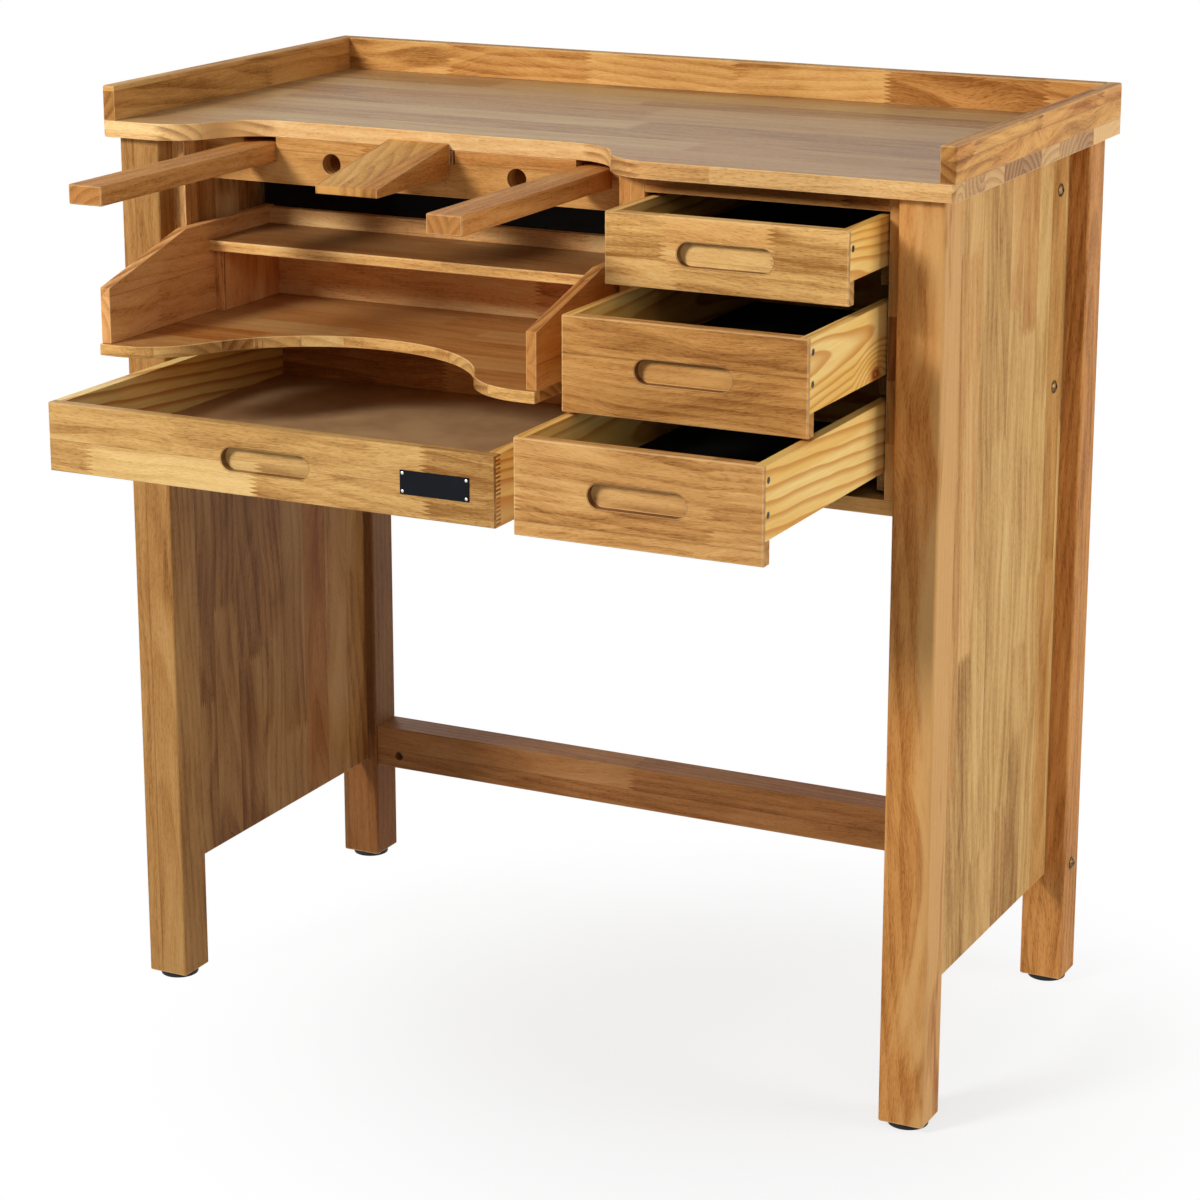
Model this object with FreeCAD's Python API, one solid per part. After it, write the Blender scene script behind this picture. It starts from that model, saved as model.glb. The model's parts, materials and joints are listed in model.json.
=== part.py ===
import FreeCAD, Part
import math
import os

# A jeweller's bench in millimetres: a solid-wood frame and worktop, a bank of three drawers on the
# right, and on the left a sweep drawer, a tray cut round the sitter, two pull-out arm rests and a
# wedge-shaped bench pin.  X runs to the right, Y from the front to the back, and Z up.
# The pieces are built with X = 0 midway between the legs, Y = 0 on the front legs' front faces and
# Z = 0 on the floor, and at the end all move to stand over the middle of their own footprint.

V = FreeCAD.Vector
X, Y, Z = V(1, 0, 0), V(0, 1, 0), V(0, 0, 1)

# ---------------------------------------------------------------- sizes: frame and worktop
frame_width = 890.0             # over the legs' outer faces
frame_depth = 456.0
leg_width = 46.0
leg_length = 905.0
leg_radius = 3.0
foot_radius = 20.0
foot_height = 6.0

panel_thickness = 12.0
panel_inset = 22.0              # legs' outer faces to the end panels' outer faces
panel_groove = 6.0              # how far the end panels go into the legs
panel_lift = 123.0              # floor to the end panels' lower edges

stretcher_height = 48.0
stretcher_depth = 42.0
stretcher_lift = 117.0

top_thickness = 17.0
overhang_side = 12.0
overhang_front = 11.0
overhang_back = 11.0
corner_radius = 4.0
rail_height = 35.0
rail_thickness = 15.0

recess_shift = 13.0             # the recess lies this far right of the left bay's middle
recess_depth = 76.0
recess_overlap = 33.0           # the recess is this much wider than the bay at each end
recess_run = 113.0              # length of each S-curve along the front

# ---------------------------------------------------------------- sizes: carcass under the top
board = 15.0                    # guide boards, cabinet sides, base, apron
back_thickness = 6.0
back_inset = 10.0               # legs' rear faces to the back panel
guide_setback = 25.0
cabinet_setback = 18.0
cabinet_opening = 248.0
top_rail_height = 17.0
top_rail_depth = 60.0
batten_width = 53.0

apron_height = 47.0
apron_shift = 9.0               # the apron's openings lie this far right of the bay's middle
apron_hole_radius = 10.5
apron_hole_from_arm = 84.0
apron_hole_drop = 23.5          # worktop's underside to the holes' middles
guide_rail_gap = 30.0           # apron to the second rail that carries the arms

# ---------------------------------------------------------------- sizes: the three drawers
drawer_heights = (90.0, 90.0, 68.5)     # fronts, from the lowest up
gap_below_drawers = (3.0, 3.0, 12.5)
gap_above_drawers = 4.0
drawer_pulls = (272.0, 178.0, 90.0)     # how far each one stands open
drawer_side_gap = 2.5
drawer_stop_gap = 2.0
drawer_front_thickness = 13.0
drawer_lip = 3.0                # the front's cover over the ends of the sides
drawer_side_thickness = 10.5
drawer_side_rise = 22.0         # the front hangs this far below the sides
runner_height = 20.0
runner_front_gap = 1.0

# ---------------------------------------------------------------- sizes: sweep drawer and tray
sweep_side_gap = 1.5
sweep_cleat_height = 12.2
sweep_height = 67.5
sweep_length = 418.0
sweep_thickness = 12.0
sweep_lip = 3.0
sweep_floor_rise = 12.5         # drawer's underside to its floor panel's underside
sweep_pull = 247.0
sweep_stop_gap = 1.0
comb_pitch = 4.0                # one tooth and one gap of the corner joints

tray_side_gap = 4.75
tray_length = 309.0
tray_floor = 11.5
tray_board = 11.0
tray_side_height = 92.5
tray_front_height = 55.5        # sides' height at their front ends
tray_slope_length = 137.0
tray_knee_radius = 24.0
tray_side_setback = 4.0
tray_back_height = 91.0
tray_pull = 159.0
tray_runner_height = 27.7
tray_runner_width = 16.0
tray_runner_gap = 2.0           # sweep drawer's top to the tray runners
cut_depth = 143.0               # round cut for the sitter
horn_radius = 82.0
horn_flat = 15.0                # straight front edge left at each corner
shelf_thickness = 11.0
shelf_depth = 116.0
shelf_height = 63.5             # tray floor's top to the shelf's underside
shelf_support_depth = 107.0

panel_floor = 4.0               # thin drawer bottoms
floor_groove = 3.0
grip_length = 96.0
grip_height = 23.0
grip_depth = 8.5

# ---------------------------------------------------------------- sizes: arm rests and pin
arm_width = 37.0
arm_height = 19.0
arm_length = 390.0
arm_margin = 56.0               # the bay's walls to the arms' middles, before the shift
arm_drop = 6.0                  # worktop's underside to the arms' top faces
arm_setback = 45.0              # where the arms' front ends stand when pushed in
arm_pull_left = 286.0
arm_pull_right = 277.0
arm_side_gap = 0.6

pin_shift = -4.0                # the pin's middle against the middle between the arms
pin_width = 68.0
pin_length = 142.0
pin_heel = 34.0                 # height at the apron
pin_toe = 8.5                   # height at the front end
pin_rise = 7.0                  # worktop's underside to the heel's top
tenon_width = 76.0
tenon_length = 30.0
slot_width = 80.0
slot_height = 14.0

# ---------------------------------------------------------------- sizes: fasteners and fits
bolt_radius = 3.0
bolt_head_radius = 6.75
bolt_head_height = 3.4
bolt_crown_radius = 4.4
insert_radius = 5.0             # threaded inserts in the boards, over their corners
insert_length = 12.0
bolt_below_top = 48.0
bolt_above_carcass = 53.0
stretcher_bolt_rise = 15.0
stretcher_dowel_rise = 35.0
barrel_reach = 28.4             # stretcher's end to the barrel nut's axis
barrel_radius = 5.0
barrel_length = 14.0
dowel_radius = 5.0
stretcher_dowel_length = 60.0
top_dowel_length = 30.0
top_dowel_depth = 10.0          # the part of it that is in the worktop
peg_sides = 8                   # flats on what is round and hidden
thread_gap = 0.1
bore_gap = 0.3
slide_gap = 0.3                 # running gap under and over everything that slides
edge_radius = 1.5
edge_chamfer = 1.0

# ---------------------------------------------------------------- places worked out from the sizes
frame_right = frame_width / 2
frame_left = -frame_right
legs_inner_right = frame_right - leg_width
legs_inner_left = -legs_inner_right
underside = foot_height + leg_length
top_face = underside + top_thickness
top_left = frame_left - overhang_side
top_right = frame_right + overhang_side
top_front = -overhang_front
top_back = frame_depth + overhang_back
leg_middle = leg_width / 2
bolt_bore = bolt_radius + bore_gap

cabinet_inner_right = legs_inner_right - board
cabinet_inner_left = cabinet_inner_right - cabinet_opening
cabinet_outer_left = cabinet_inner_left - board
bay_left = legs_inner_left + board
bay_right = cabinet_outer_left - board
bay_middle = (bay_left + bay_right) / 2
carcass_back = frame_depth - back_inset - back_thickness
drawer_stack = sum(drawer_heights) + sum(gap_below_drawers) + gap_above_drawers
carcass_bottom = underside - top_rail_height - drawer_stack - board
cabinet_floor = carcass_bottom + board

bay_half = (bay_right - bay_left) / 2
recess_middle = bay_middle + recess_shift
apron_middle = bay_middle + apron_shift
arm_offset = bay_half - arm_margin
apron_front = top_front + recess_depth
apron_bottom = underside - apron_height
guide_rail_front = apron_front + board + guide_rail_gap
arm_top = underside - arm_drop
arm_bottom = arm_top - arm_height
notch_bottom = arm_bottom - slide_gap

sweep_bottom = carcass_bottom + sweep_cleat_height + slide_gap
sweep_top = sweep_bottom + sweep_height
tray_runner_bottom = sweep_top + tray_runner_gap
tray_bottom = tray_runner_bottom + tray_runner_height + slide_gap
tray_floor_top = tray_bottom + tray_floor

beyond = 1.0                    # how far a cutter runs past what it cuts
tiny = 1e-6


# ---------------------------------------------------------------- drawing helpers
def box(x0, x1, y0, y1, z0, z1):
    return Part.makeBox(x1 - x0, y1 - y0, z1 - z0, V(x0, y0, z0))


def cylinder(radius, start, direction, length):
    return Part.makeCylinder(radius, length, start, direction)


def prism(corners, axis, low, high):
    """Extrude a closed outline of (a, b, radius) corners along an axis, each corner rounded.

    a and b are the two other axes' coordinates, in the order X, Y, Z.
    """
    def place(a, b):
        return {"x": V(low, a, b), "y": V(a, low, b), "z": V(a, b, low)}[axis]

    points = [place(a, b) for a, b, radius in corners]
    edges = []
    starts = []
    ends = []
    for index, (a, b, radius) in enumerate(corners):
        corner = points[index]
        back = (points[index - 1] - corner).normalize()
        ahead = (points[(index + 1) % len(points)] - corner).normalize()
        half = back.getAngle(ahead) / 2
        reach = radius / math.tan(half)
        start = corner + back * reach
        end = corner + ahead * reach
        starts.append(start)
        ends.append(end)
        if radius > 0:
            bisector = (back + ahead).normalize()
            middle = corner + bisector * (radius / math.sin(half) - radius)
            edges.append(Part.Arc(start, middle, end).toShape())
    for index, end in enumerate(ends):
        start = starts[(index + 1) % len(starts)]
        if end.distanceToPoint(start) > tiny:
            edges.append(Part.makeLine(end, start))
    outline = Part.Wire(Part.__sortEdges__(edges))
    direction = {"x": X, "y": Y, "z": Z}[axis]
    return Part.Face(outline).extrude(direction * (high - low))


def rectangle(a0, a1, b0, b1, radius=0.0):
    return [(a0, b0, radius), (a1, b0, radius), (a1, b1, radius), (a0, b1, radius)]


def peg(radius, start, direction, length):
    """Many-sided prism for a round piece or bore that is hidden; its corners lie at the radius."""
    across = direction.cross(Y if abs(direction.z) > tiny else Z)
    step = FreeCAD.Rotation(direction, 360 / peg_sides)
    spokes = [across * radius]
    for side in range(peg_sides):
        spokes.append(step.multVec(spokes[-1]))
    spokes[-1] = spokes[0]
    outline = Part.makePolygon([start + spoke for spoke in spokes])
    return Part.Face(outline).extrude(direction * length)


def eased(shape, accept):
    """Take the sharp corner off the edges that a test accepts."""
    return shape.makeChamfer(edge_chamfer, [edge for edge in shape.Edges if accept(edge)])


def in_plane(axis, value):
    """Test for edges that lie in the plane at one value of an axis."""
    def accept(edge):
        low = V(edge.BoundBox.XMin, edge.BoundBox.YMin, edge.BoundBox.ZMin).dot(axis)
        high = V(edge.BoundBox.XMax, edge.BoundBox.YMax, edge.BoundBox.ZMax).dot(axis)
        return abs(low - value) < 1e3 * tiny and abs(high - value) < 1e3 * tiny
    return accept


def along(axis):
    """Test for straight edges that run along an axis."""
    def accept(edge):
        ends = [vertex.Point for vertex in edge.Vertexes]
        return len(ends) == 2 and (ends[1] - ends[0]).cross(axis).Length < tiny
    return accept


def flip(shape, axis, value=0.0):
    """Mirror a shape in the plane at one value of an axis."""
    return shape.mirror(axis * value, axis)


def group(shapes):
    return Part.makeCompound(shapes)


# ---------------------------------------------------------------- fasteners
def bolt(seat, length):
    """Low-headed bolt along X, its head's flat on the seat point and its shank ahead."""
    head = Part.makeCone(bolt_head_radius, bolt_crown_radius, bolt_head_height, seat, X * -1)
    return head.fuse(peg(bolt_radius, seat, X, length))


def panel_bolt_seats():
    """Points on the left end panel's outer face where its bolts' heads sit."""
    near = leg_width + batten_width / 2
    heights = (carcass_bottom + bolt_above_carcass, underside - bolt_below_top)
    return [
        V(frame_left + panel_inset, y, z)
        for y in (near, frame_depth - near)
        for z in heights
    ]


panel_bolt_grip = leg_width - panel_inset       # panel and batten together
panel_bolt_length = panel_bolt_grip + insert_length
panel_bolt_bores = [
    peg(bolt_bore, seat, X, panel_bolt_grip) for seat in panel_bolt_seats()
]
insert_blanks = [
    peg(insert_radius, seat + X * panel_bolt_grip, X, insert_length) for seat in panel_bolt_seats()
]
stretcher_bolt_seat = V(frame_left, frame_depth - leg_middle, stretcher_lift + stretcher_bolt_rise)
barrel_centre = stretcher_bolt_seat + X * (leg_width + barrel_reach)
stretcher_bolt_length = leg_width + barrel_reach + barrel_radius
stretcher_bolt_bore = peg(bolt_bore, stretcher_bolt_seat, X, stretcher_bolt_length + beyond)
stretcher_dowel = peg(
    dowel_radius,
    V(
        legs_inner_left - stretcher_dowel_length / 2,
        frame_depth - leg_middle,
        stretcher_lift + stretcher_dowel_rise,
    ),
    X,
    stretcher_dowel_length,
)
top_dowels = [
    peg(
        dowel_radius,
        V(side * (frame_right - leg_middle), y, underside + top_dowel_depth),
        Z * -1,
        top_dowel_length,
    )
    for side in (-1, 1)
    for y in (leg_middle, frame_depth - leg_middle)
]


def fasteners():
    panel_bolts = [bolt(seat, panel_bolt_length) for seat in panel_bolt_seats()]
    inserts = [
        blank.cut(peg(bolt_radius + thread_gap, seat, X, panel_bolt_length))
        for seat, blank in zip(panel_bolt_seats(), insert_blanks)
    ]
    stretcher_bolt = bolt(stretcher_bolt_seat, stretcher_bolt_length)
    barrel = cylinder(barrel_radius, barrel_centre - Y * barrel_length / 2, Y, barrel_length)
    barrel = barrel.cut(
        peg(bolt_radius + thread_gap, barrel_centre - X * leg_width, X, 2 * leg_width)
    )
    return {
        "panel_bolts": group(panel_bolts + [flip(one, X) for one in panel_bolts]),
        "insert_nuts": group(inserts + [flip(insert, X) for insert in inserts]),
        "stretcher_bolts": group([stretcher_bolt, flip(stretcher_bolt, X)]),
        "barrel_nuts": group([barrel, flip(barrel, X)]),
        "stretcher_dowels": group([stretcher_dowel, flip(stretcher_dowel, X)]),
        "top_dowels": group(top_dowels),
    }


# ---------------------------------------------------------------- frame
def end_panel():
    """Left end panel, its long edges in the legs' grooves."""
    panel = box(
        frame_left + panel_inset,
        frame_left + panel_inset + panel_thickness,
        leg_width - panel_groove,
        frame_depth - leg_width + panel_groove,
        panel_lift,
        underside,
    )
    return panel.cut(panel_bolt_bores)


def leg(panel):
    """Front left leg with rounded arrises, a stopped groove for the end panel and a dowel hole."""
    post = prism(
        rectangle(frame_left, frame_left + leg_width, 0, leg_width, leg_radius),
        "z",
        foot_height,
        underside,
    )
    post = eased(post, in_plane(Z, foot_height))
    return post.cut([panel] + top_dowels)


def frame():
    panel = end_panel()
    front_leg = leg(panel)
    rear_leg = flip(front_leg, Y, frame_depth / 2).cut([stretcher_bolt_bore, stretcher_dowel])
    stretcher = box(
        legs_inner_left,
        legs_inner_right,
        frame_depth - stretcher_depth,
        frame_depth,
        stretcher_lift,
        stretcher_lift + stretcher_height,
    )
    stretcher = eased(stretcher, along(X))
    stretcher_front = frame_depth - stretcher_depth
    pocket = cylinder(
        barrel_radius + thread_gap,
        V(barrel_centre.x, stretcher_front - beyond, barrel_centre.z),
        Y,
        barrel_centre.y + barrel_length / 2 - stretcher_front + beyond,
    )
    left_cuts = [pocket, stretcher_bolt_bore, stretcher_dowel]
    stretcher = stretcher.cut(left_cuts + [flip(cut, X) for cut in left_cuts])
    feet = [
        cylinder(foot_radius, V(side * (frame_right - leg_middle), y, 0), Z, foot_height)
        for side in (-1, 1)
        for y in (leg_middle, frame_depth - leg_middle)
    ]
    return {
        "leg_front_left": front_leg,
        "leg_front_right": flip(front_leg, X),
        "leg_rear_left": rear_leg,
        "leg_rear_right": flip(rear_leg, X),
        "end_panel_left": panel,
        "end_panel_right": flip(panel, X),
        "rear_stretcher": stretcher,
        "feet": group(feet),
    }


# ---------------------------------------------------------------- worktop and gallery rails
def worktop():
    """Board with a shallow recess in its front edge, entered and left by an S-curve.

    Each S-curve is two equal arcs that meet halfway, drawn as two rounded corners.
    """
    half = math.atan(recess_depth / recess_run)
    curve_radius = recess_run / 2 / math.sin(2 * half)
    reach = curve_radius * math.tan(half)
    recess_back = top_front + recess_depth
    mouth = bay_half + recess_overlap
    flat = mouth - recess_run
    corners = [
        (top_left, top_front, corner_radius),
        (recess_middle - mouth + reach, top_front, curve_radius),
        (recess_middle - flat - reach, recess_back, curve_radius),
        (recess_middle + flat + reach, recess_back, curve_radius),
        (recess_middle + mouth - reach, top_front, curve_radius),
        (top_right, top_front, corner_radius),
        (top_right, top_back, corner_radius),
        (top_left, top_back, corner_radius),
    ]
    return prism(corners, "z", underside, top_face).cut(top_dowels)


def gallery():
    """Three rails that stand on the worktop's left, right and back edges."""
    top = top_face + rail_height
    side = prism(
        [
            (top_left, top_front, corner_radius),
            (top_left + rail_thickness, top_front, 0.0),
            (top_left + rail_thickness, top_back, 0.0),
            (top_left, top_back, corner_radius),
        ],
        "z",
        top_face,
        top,
    )
    side = eased(side, in_plane(Z, top))
    back = box(
        top_left + rail_thickness,
        top_right - rail_thickness,
        top_back - rail_thickness,
        top_back,
        top_face,
        top,
    )
    back = eased(back, lambda edge: along(X)(edge) and in_plane(Z, top)(edge))
    return {"rail_left": side, "rail_right": flip(side, X), "rail_back": back}


# ---------------------------------------------------------------- carcass
def arm_centres():
    return [apron_middle - arm_offset, apron_middle + arm_offset]


def arm_notches(front, back):
    """Cutters for the notches that the arm rests slide in, open at the worktop."""
    half = arm_width / 2 + arm_side_gap
    return [
        box(x - half, x + half, front - beyond, back + beyond, notch_bottom, underside + beyond)
        for x in arm_centres()
    ]


def apron():
    """Rail under the recess with two round holes, notches for the arms and a slot for the pin."""
    back = apron_front + board
    pin_middle = apron_middle + pin_shift
    hole_offset = arm_offset - apron_hole_from_arm
    rail = box(bay_left, bay_right, apron_front, back, apron_bottom, underside)
    holes = [
        cylinder(
            apron_hole_radius,
            V(apron_middle + side * hole_offset, apron_front - beyond, underside - apron_hole_drop),
            Y,
            board + 2 * beyond,
        )
        for side in (-1, 1)
    ]
    slot = box(
        pin_middle - slot_width / 2,
        pin_middle + slot_width / 2,
        apron_front - beyond,
        back + beyond,
        underside - slot_height,
        underside + beyond,
    )
    return rail.cut(holes + arm_notches(apron_front, back) + [slot])


def carcass():
    """Boards that hang under the worktop between the legs."""
    guide_left = box(
        legs_inner_left, bay_left, guide_setback, carcass_back, carcass_bottom, underside
    )
    guide_right = box(
        bay_right, cabinet_outer_left, guide_setback, carcass_back, carcass_bottom, underside
    )
    side_left = box(
        cabinet_outer_left, cabinet_inner_left, cabinet_setback, carcass_back,
        cabinet_floor, underside,
    )
    side_right = box(
        cabinet_inner_right, legs_inner_right, cabinet_setback, carcass_back,
        cabinet_floor, underside,
    )
    base = box(
        cabinet_outer_left, legs_inner_right, cabinet_setback, carcass_back,
        carcass_bottom, cabinet_floor,
    )
    top_rails = [
        box(
            cabinet_inner_left, cabinet_inner_right, front, front + top_rail_depth,
            underside - top_rail_height, underside,
        )
        for front in (cabinet_setback, carcass_back - top_rail_depth)
    ]
    back_panel = box(
        legs_inner_left, legs_inner_right, carcass_back, carcass_back + back_thickness,
        carcass_bottom, underside,
    )
    guide_rail_back = guide_rail_front + board
    guide_rail = box(
        bay_left, bay_right, guide_rail_front, guide_rail_back, apron_bottom, underside
    )
    battens = [
        box(
            frame_left + panel_inset + panel_thickness, legs_inner_left,
            front, front + batten_width, carcass_bottom, underside,
        ).cut(panel_bolt_bores)
        for front in (leg_width, frame_depth - leg_width - batten_width)
    ]
    return {
        "guide_board_left": guide_left.cut(insert_blanks),
        "guide_board_right": guide_right,
        "cabinet_side_left": side_left,
        "cabinet_side_right": side_right.cut([flip(blank, X) for blank in insert_blanks]),
        "cabinet_base": base,
        "cabinet_top_rails": group(top_rails),
        "back_panel": back_panel,
        "apron": apron(),
        "arm_guide_rail": guide_rail.cut(arm_notches(guide_rail_front, guide_rail_back)),
        "panel_battens": group(battens + [flip(batten, X) for batten in battens]),
    }


# ---------------------------------------------------------------- drawers
def grip(middle_x, front, middle_z):
    """Cutter for the round-ended finger recess in a drawer's front."""
    corners = rectangle(
        middle_x - grip_length / 2,
        middle_x + grip_length / 2,
        middle_z - grip_height / 2,
        middle_z + grip_height / 2,
        grip_height / 2,
    )
    return prism(corners, "y", front - beyond, front + grip_depth)


def drawer(name, bottom, height, pull):
    """Drawer with its sides let into the ends of a front that hangs below them."""
    left = cabinet_inner_left + drawer_side_gap
    right = cabinet_inner_right - drawer_side_gap
    front = cabinet_setback - pull
    rear = front + carcass_back - drawer_stop_gap - cabinet_setback
    top = bottom + height
    box_bottom = bottom + drawer_side_rise
    inner_left = left + drawer_side_thickness
    inner_right = right - drawer_side_thickness
    floor_bottom = box_bottom + panel_floor
    floor = box(
        inner_left - floor_groove,
        inner_right + floor_groove,
        front + drawer_front_thickness - floor_groove,
        rear,
        floor_bottom,
        floor_bottom + panel_floor,
    )
    side = box(left, inner_left, front + drawer_lip, rear, box_bottom, top)
    other_side = flip(side, X, (left + right) / 2)
    face = box(left, right, front, front + drawer_front_thickness, bottom, top)
    face = eased(face, in_plane(Y, front))
    back = box(
        inner_left, inner_right, rear - drawer_side_thickness, rear,
        floor_bottom + panel_floor, top,
    )
    handhold = grip((left + right) / 2, front, (bottom + top) / 2)
    return {
        name + "_front": face.cut([side, other_side, floor, handhold]),
        name + "_side_left": side.cut(floor),
        name + "_side_right": other_side.cut(floor),
        name + "_back": back,
        name + "_bottom": floor,
    }


def drawer_bank():
    """The three drawers, and the strips on the cabinet's sides that carry them."""
    nodes = {}
    runners = []
    bottom = cabinet_floor
    names = ("drawer_3", "drawer_2", "drawer_1")
    for name, height, gap, pull in zip(names, drawer_heights, gap_below_drawers, drawer_pulls):
        bottom += gap
        nodes.update(drawer(name, bottom, height, pull))
        runner_top = bottom + drawer_side_rise - slide_gap
        runner = box(
            cabinet_inner_left,
            cabinet_inner_left + drawer_side_gap + drawer_side_thickness,
            cabinet_setback + drawer_front_thickness + runner_front_gap,
            carcass_back,
            runner_top - runner_height,
            runner_top,
        )
        cabinet_middle = (cabinet_inner_left + cabinet_inner_right) / 2
        runners += [runner, flip(runner, X, cabinet_middle)]
        bottom += height
    nodes["drawer_runners"] = group(runners)
    return nodes


def comb_side(left, tip, root, rear):
    """Sweep drawer's left side, whose front end is a comb of square teeth from root to tip."""
    teeth = round(sweep_height / comb_pitch)
    pitch = sweep_height / teeth
    corners = [(rear, sweep_bottom, 0.0)]
    for tooth in range(teeth):
        low = sweep_bottom + tooth * pitch
        middle = low + pitch / 2
        corners += [(tip, low, 0.0), (tip, middle, 0.0), (root, middle, 0.0), (root, low + pitch, 0.0)]
    corners.append((rear, sweep_top, 0.0))
    return prism(corners, "x", left, left + sweep_thickness)


def sweep_drawer():
    """Wide shallow drawer under the tray that catches filings, comb-jointed at its front corners."""
    left = bay_left + sweep_side_gap
    right = bay_right - sweep_side_gap
    front = carcass_back - sweep_stop_gap - sweep_length - sweep_pull
    rear = front + sweep_length
    inner_left = left + sweep_thickness
    inner_right = right - sweep_thickness
    floor_bottom = sweep_bottom + sweep_floor_rise
    floor_top = floor_bottom + panel_floor
    floor = box(
        inner_left - floor_groove,
        inner_right + floor_groove,
        front + sweep_thickness - floor_groove,
        rear,
        floor_bottom,
        floor_top,
    )
    side = comb_side(left, front + sweep_lip, front + sweep_thickness, rear)
    other_side = flip(side, X, bay_middle)
    face = box(left, right, front, front + sweep_thickness, sweep_bottom, sweep_top)
    face = eased(face, in_plane(Y, front))
    back = box(inner_left, inner_right, rear - sweep_thickness, rear, floor_top, sweep_top)
    handhold = grip(bay_middle, front, (sweep_bottom + sweep_top) / 2)
    cleat = box(
        bay_left, inner_left, guide_setback + sweep_thickness, carcass_back,
        carcass_bottom, carcass_bottom + sweep_cleat_height,
    )
    return {
        "sweep_front": face.cut([side, other_side, floor, handhold]),
        "sweep_side_left": side.cut(floor),
        "sweep_side_right": other_side.cut(floor),
        "sweep_back": back,
        "sweep_bottom": floor,
        "sweep_runners": group([cleat, flip(cleat, X, bay_middle)]),
    }


# ---------------------------------------------------------------- tray
def tray_floor_board(left, right, front, rear):
    """Board with a round cut in its front, blended into the front edge by convex arcs.

    The cut's radius follows from its depth, the horns' radius and where the horns begin.
    """
    reach = (right - left) / 2 - horn_flat
    cut_radius = (reach ** 2 + (horn_radius - cut_depth) ** 2 - horn_radius ** 2) / (2 * cut_depth)
    cut_centre = V(bay_middle, front + cut_depth - cut_radius, tray_bottom)
    deepest = V(bay_middle, front + cut_depth, tray_bottom)
    horn_centre = V(bay_middle + reach, front + horn_radius, tray_bottom)
    outward = (horn_centre - cut_centre).normalize()
    joint = cut_centre + outward * cut_radius
    horn_start = V(horn_centre.x, front, tray_bottom)
    horn_middle = horn_centre - (outward + Y).normalize() * horn_radius
    right_horn = Part.Arc(joint, horn_middle, horn_start).toShape()
    left_horn = flip(right_horn, X, bay_middle)
    far_joint = V(2 * bay_middle - joint.x, joint.y, tray_bottom)
    cut = Part.Arc(far_joint, deepest, joint).toShape()
    rest = Part.makePolygon([
        horn_start,
        V(right, front, tray_bottom),
        V(right, rear, tray_bottom),
        V(left, rear, tray_bottom),
        V(left, front, tray_bottom),
        V(2 * bay_middle - horn_start.x, front, tray_bottom),
    ])
    edges = [cut, right_horn, left_horn] + rest.Edges
    return Part.Face(Part.Wire(Part.__sortEdges__(edges))).extrude(Z * tray_floor)


def tray():
    """Tray whose floor is cut round the sitter, with sloping sides and a shelf at the back."""
    left = bay_left + tray_side_gap
    right = bay_right - tray_side_gap
    front = cabinet_setback - tray_pull
    rear = front + tray_length
    inner_left = left + tray_board
    inner_right = right - tray_board
    wall_front = rear - tray_board

    floor = tray_floor_board(left, right, front, rear)
    side_front = front + tray_side_setback
    side_top = tray_floor_top + tray_side_height
    side = prism(
        [
            (side_front, tray_floor_top, 0.0),
            (side_front, tray_floor_top + tray_front_height, edge_radius),
            (side_front + tray_slope_length, side_top, tray_knee_radius),
            (rear, side_top, edge_radius),
            (rear, tray_floor_top, 0.0),
        ],
        "x",
        left,
        inner_left,
    )
    back = box(
        inner_left, inner_right, wall_front, rear, tray_floor_top, tray_floor_top + tray_back_height
    )
    shelf_bottom = tray_floor_top + shelf_height
    shelf = box(
        inner_left, inner_right, wall_front - shelf_depth, wall_front,
        shelf_bottom, shelf_bottom + shelf_thickness,
    )
    shelf_front = in_plane(Y, wall_front - shelf_depth)
    shelf = eased(shelf, lambda edge: shelf_front(edge) and along(X)(edge))
    support = box(
        inner_left, inner_left + tray_board, wall_front - shelf_support_depth, wall_front,
        tray_floor_top, shelf_bottom,
    )
    runner = box(
        bay_left, bay_left + tray_runner_width, guide_setback, carcass_back,
        tray_runner_bottom, tray_runner_bottom + tray_runner_height,
    )
    return {
        "tray_bottom": floor,
        "tray_side_left": side,
        "tray_side_right": flip(side, X, bay_middle),
        "tray_back": back,
        "tray_shelf": shelf,
        "tray_shelf_supports": group([support, flip(support, X, bay_middle)]),
        "tray_runners": group([runner, flip(runner, X, bay_middle)]),
    }


# ---------------------------------------------------------------- arm rests and bench pin
def arm(middle, pull):
    """Pull-out arm rest with rounded arrises."""
    front = arm_setback - pull
    bar = prism(
        rectangle(middle - arm_width / 2, middle + arm_width / 2, arm_bottom, arm_top, edge_radius),
        "y",
        front,
        front + arm_length,
    )
    return eased(bar, in_plane(Y, front))


def bench_pin():
    """Wedge that the work is held against, flat below, with a tenon in the apron's slot."""
    middle = apron_middle + pin_shift
    heel_top = underside + pin_rise
    heel_bottom = heel_top - pin_heel
    toe = apron_front - pin_length
    wedge = prism(
        [
            (toe, heel_bottom, edge_radius),
            (apron_front, heel_bottom, 0.0),
            (apron_front, heel_top, edge_radius),
            (toe, heel_bottom + pin_toe, edge_radius),
        ],
        "x",
        middle - pin_width / 2,
        middle + pin_width / 2,
    )
    tenon = box(
        middle - tenon_width / 2,
        middle + tenon_width / 2,
        apron_front,
        apron_front + tenon_length,
        underside - slot_height + slide_gap,
        underside - slide_gap,
    )
    return wedge.fuse(tenon)


# ---------------------------------------------------------------- the whole bench
def bench():
    nodes = {"worktop": worktop()}
    nodes.update(gallery())
    nodes.update(frame())
    nodes.update(fasteners())
    nodes.update(carcass())
    nodes.update(drawer_bank())
    nodes.update(sweep_drawer())
    nodes.update(tray())
    centre_left, centre_right = arm_centres()
    nodes["arm_left"] = arm(centre_left, arm_pull_left)
    nodes["arm_right"] = arm(centre_right, arm_pull_right)
    nodes["bench_pin"] = bench_pin()
    return nodes


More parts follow.
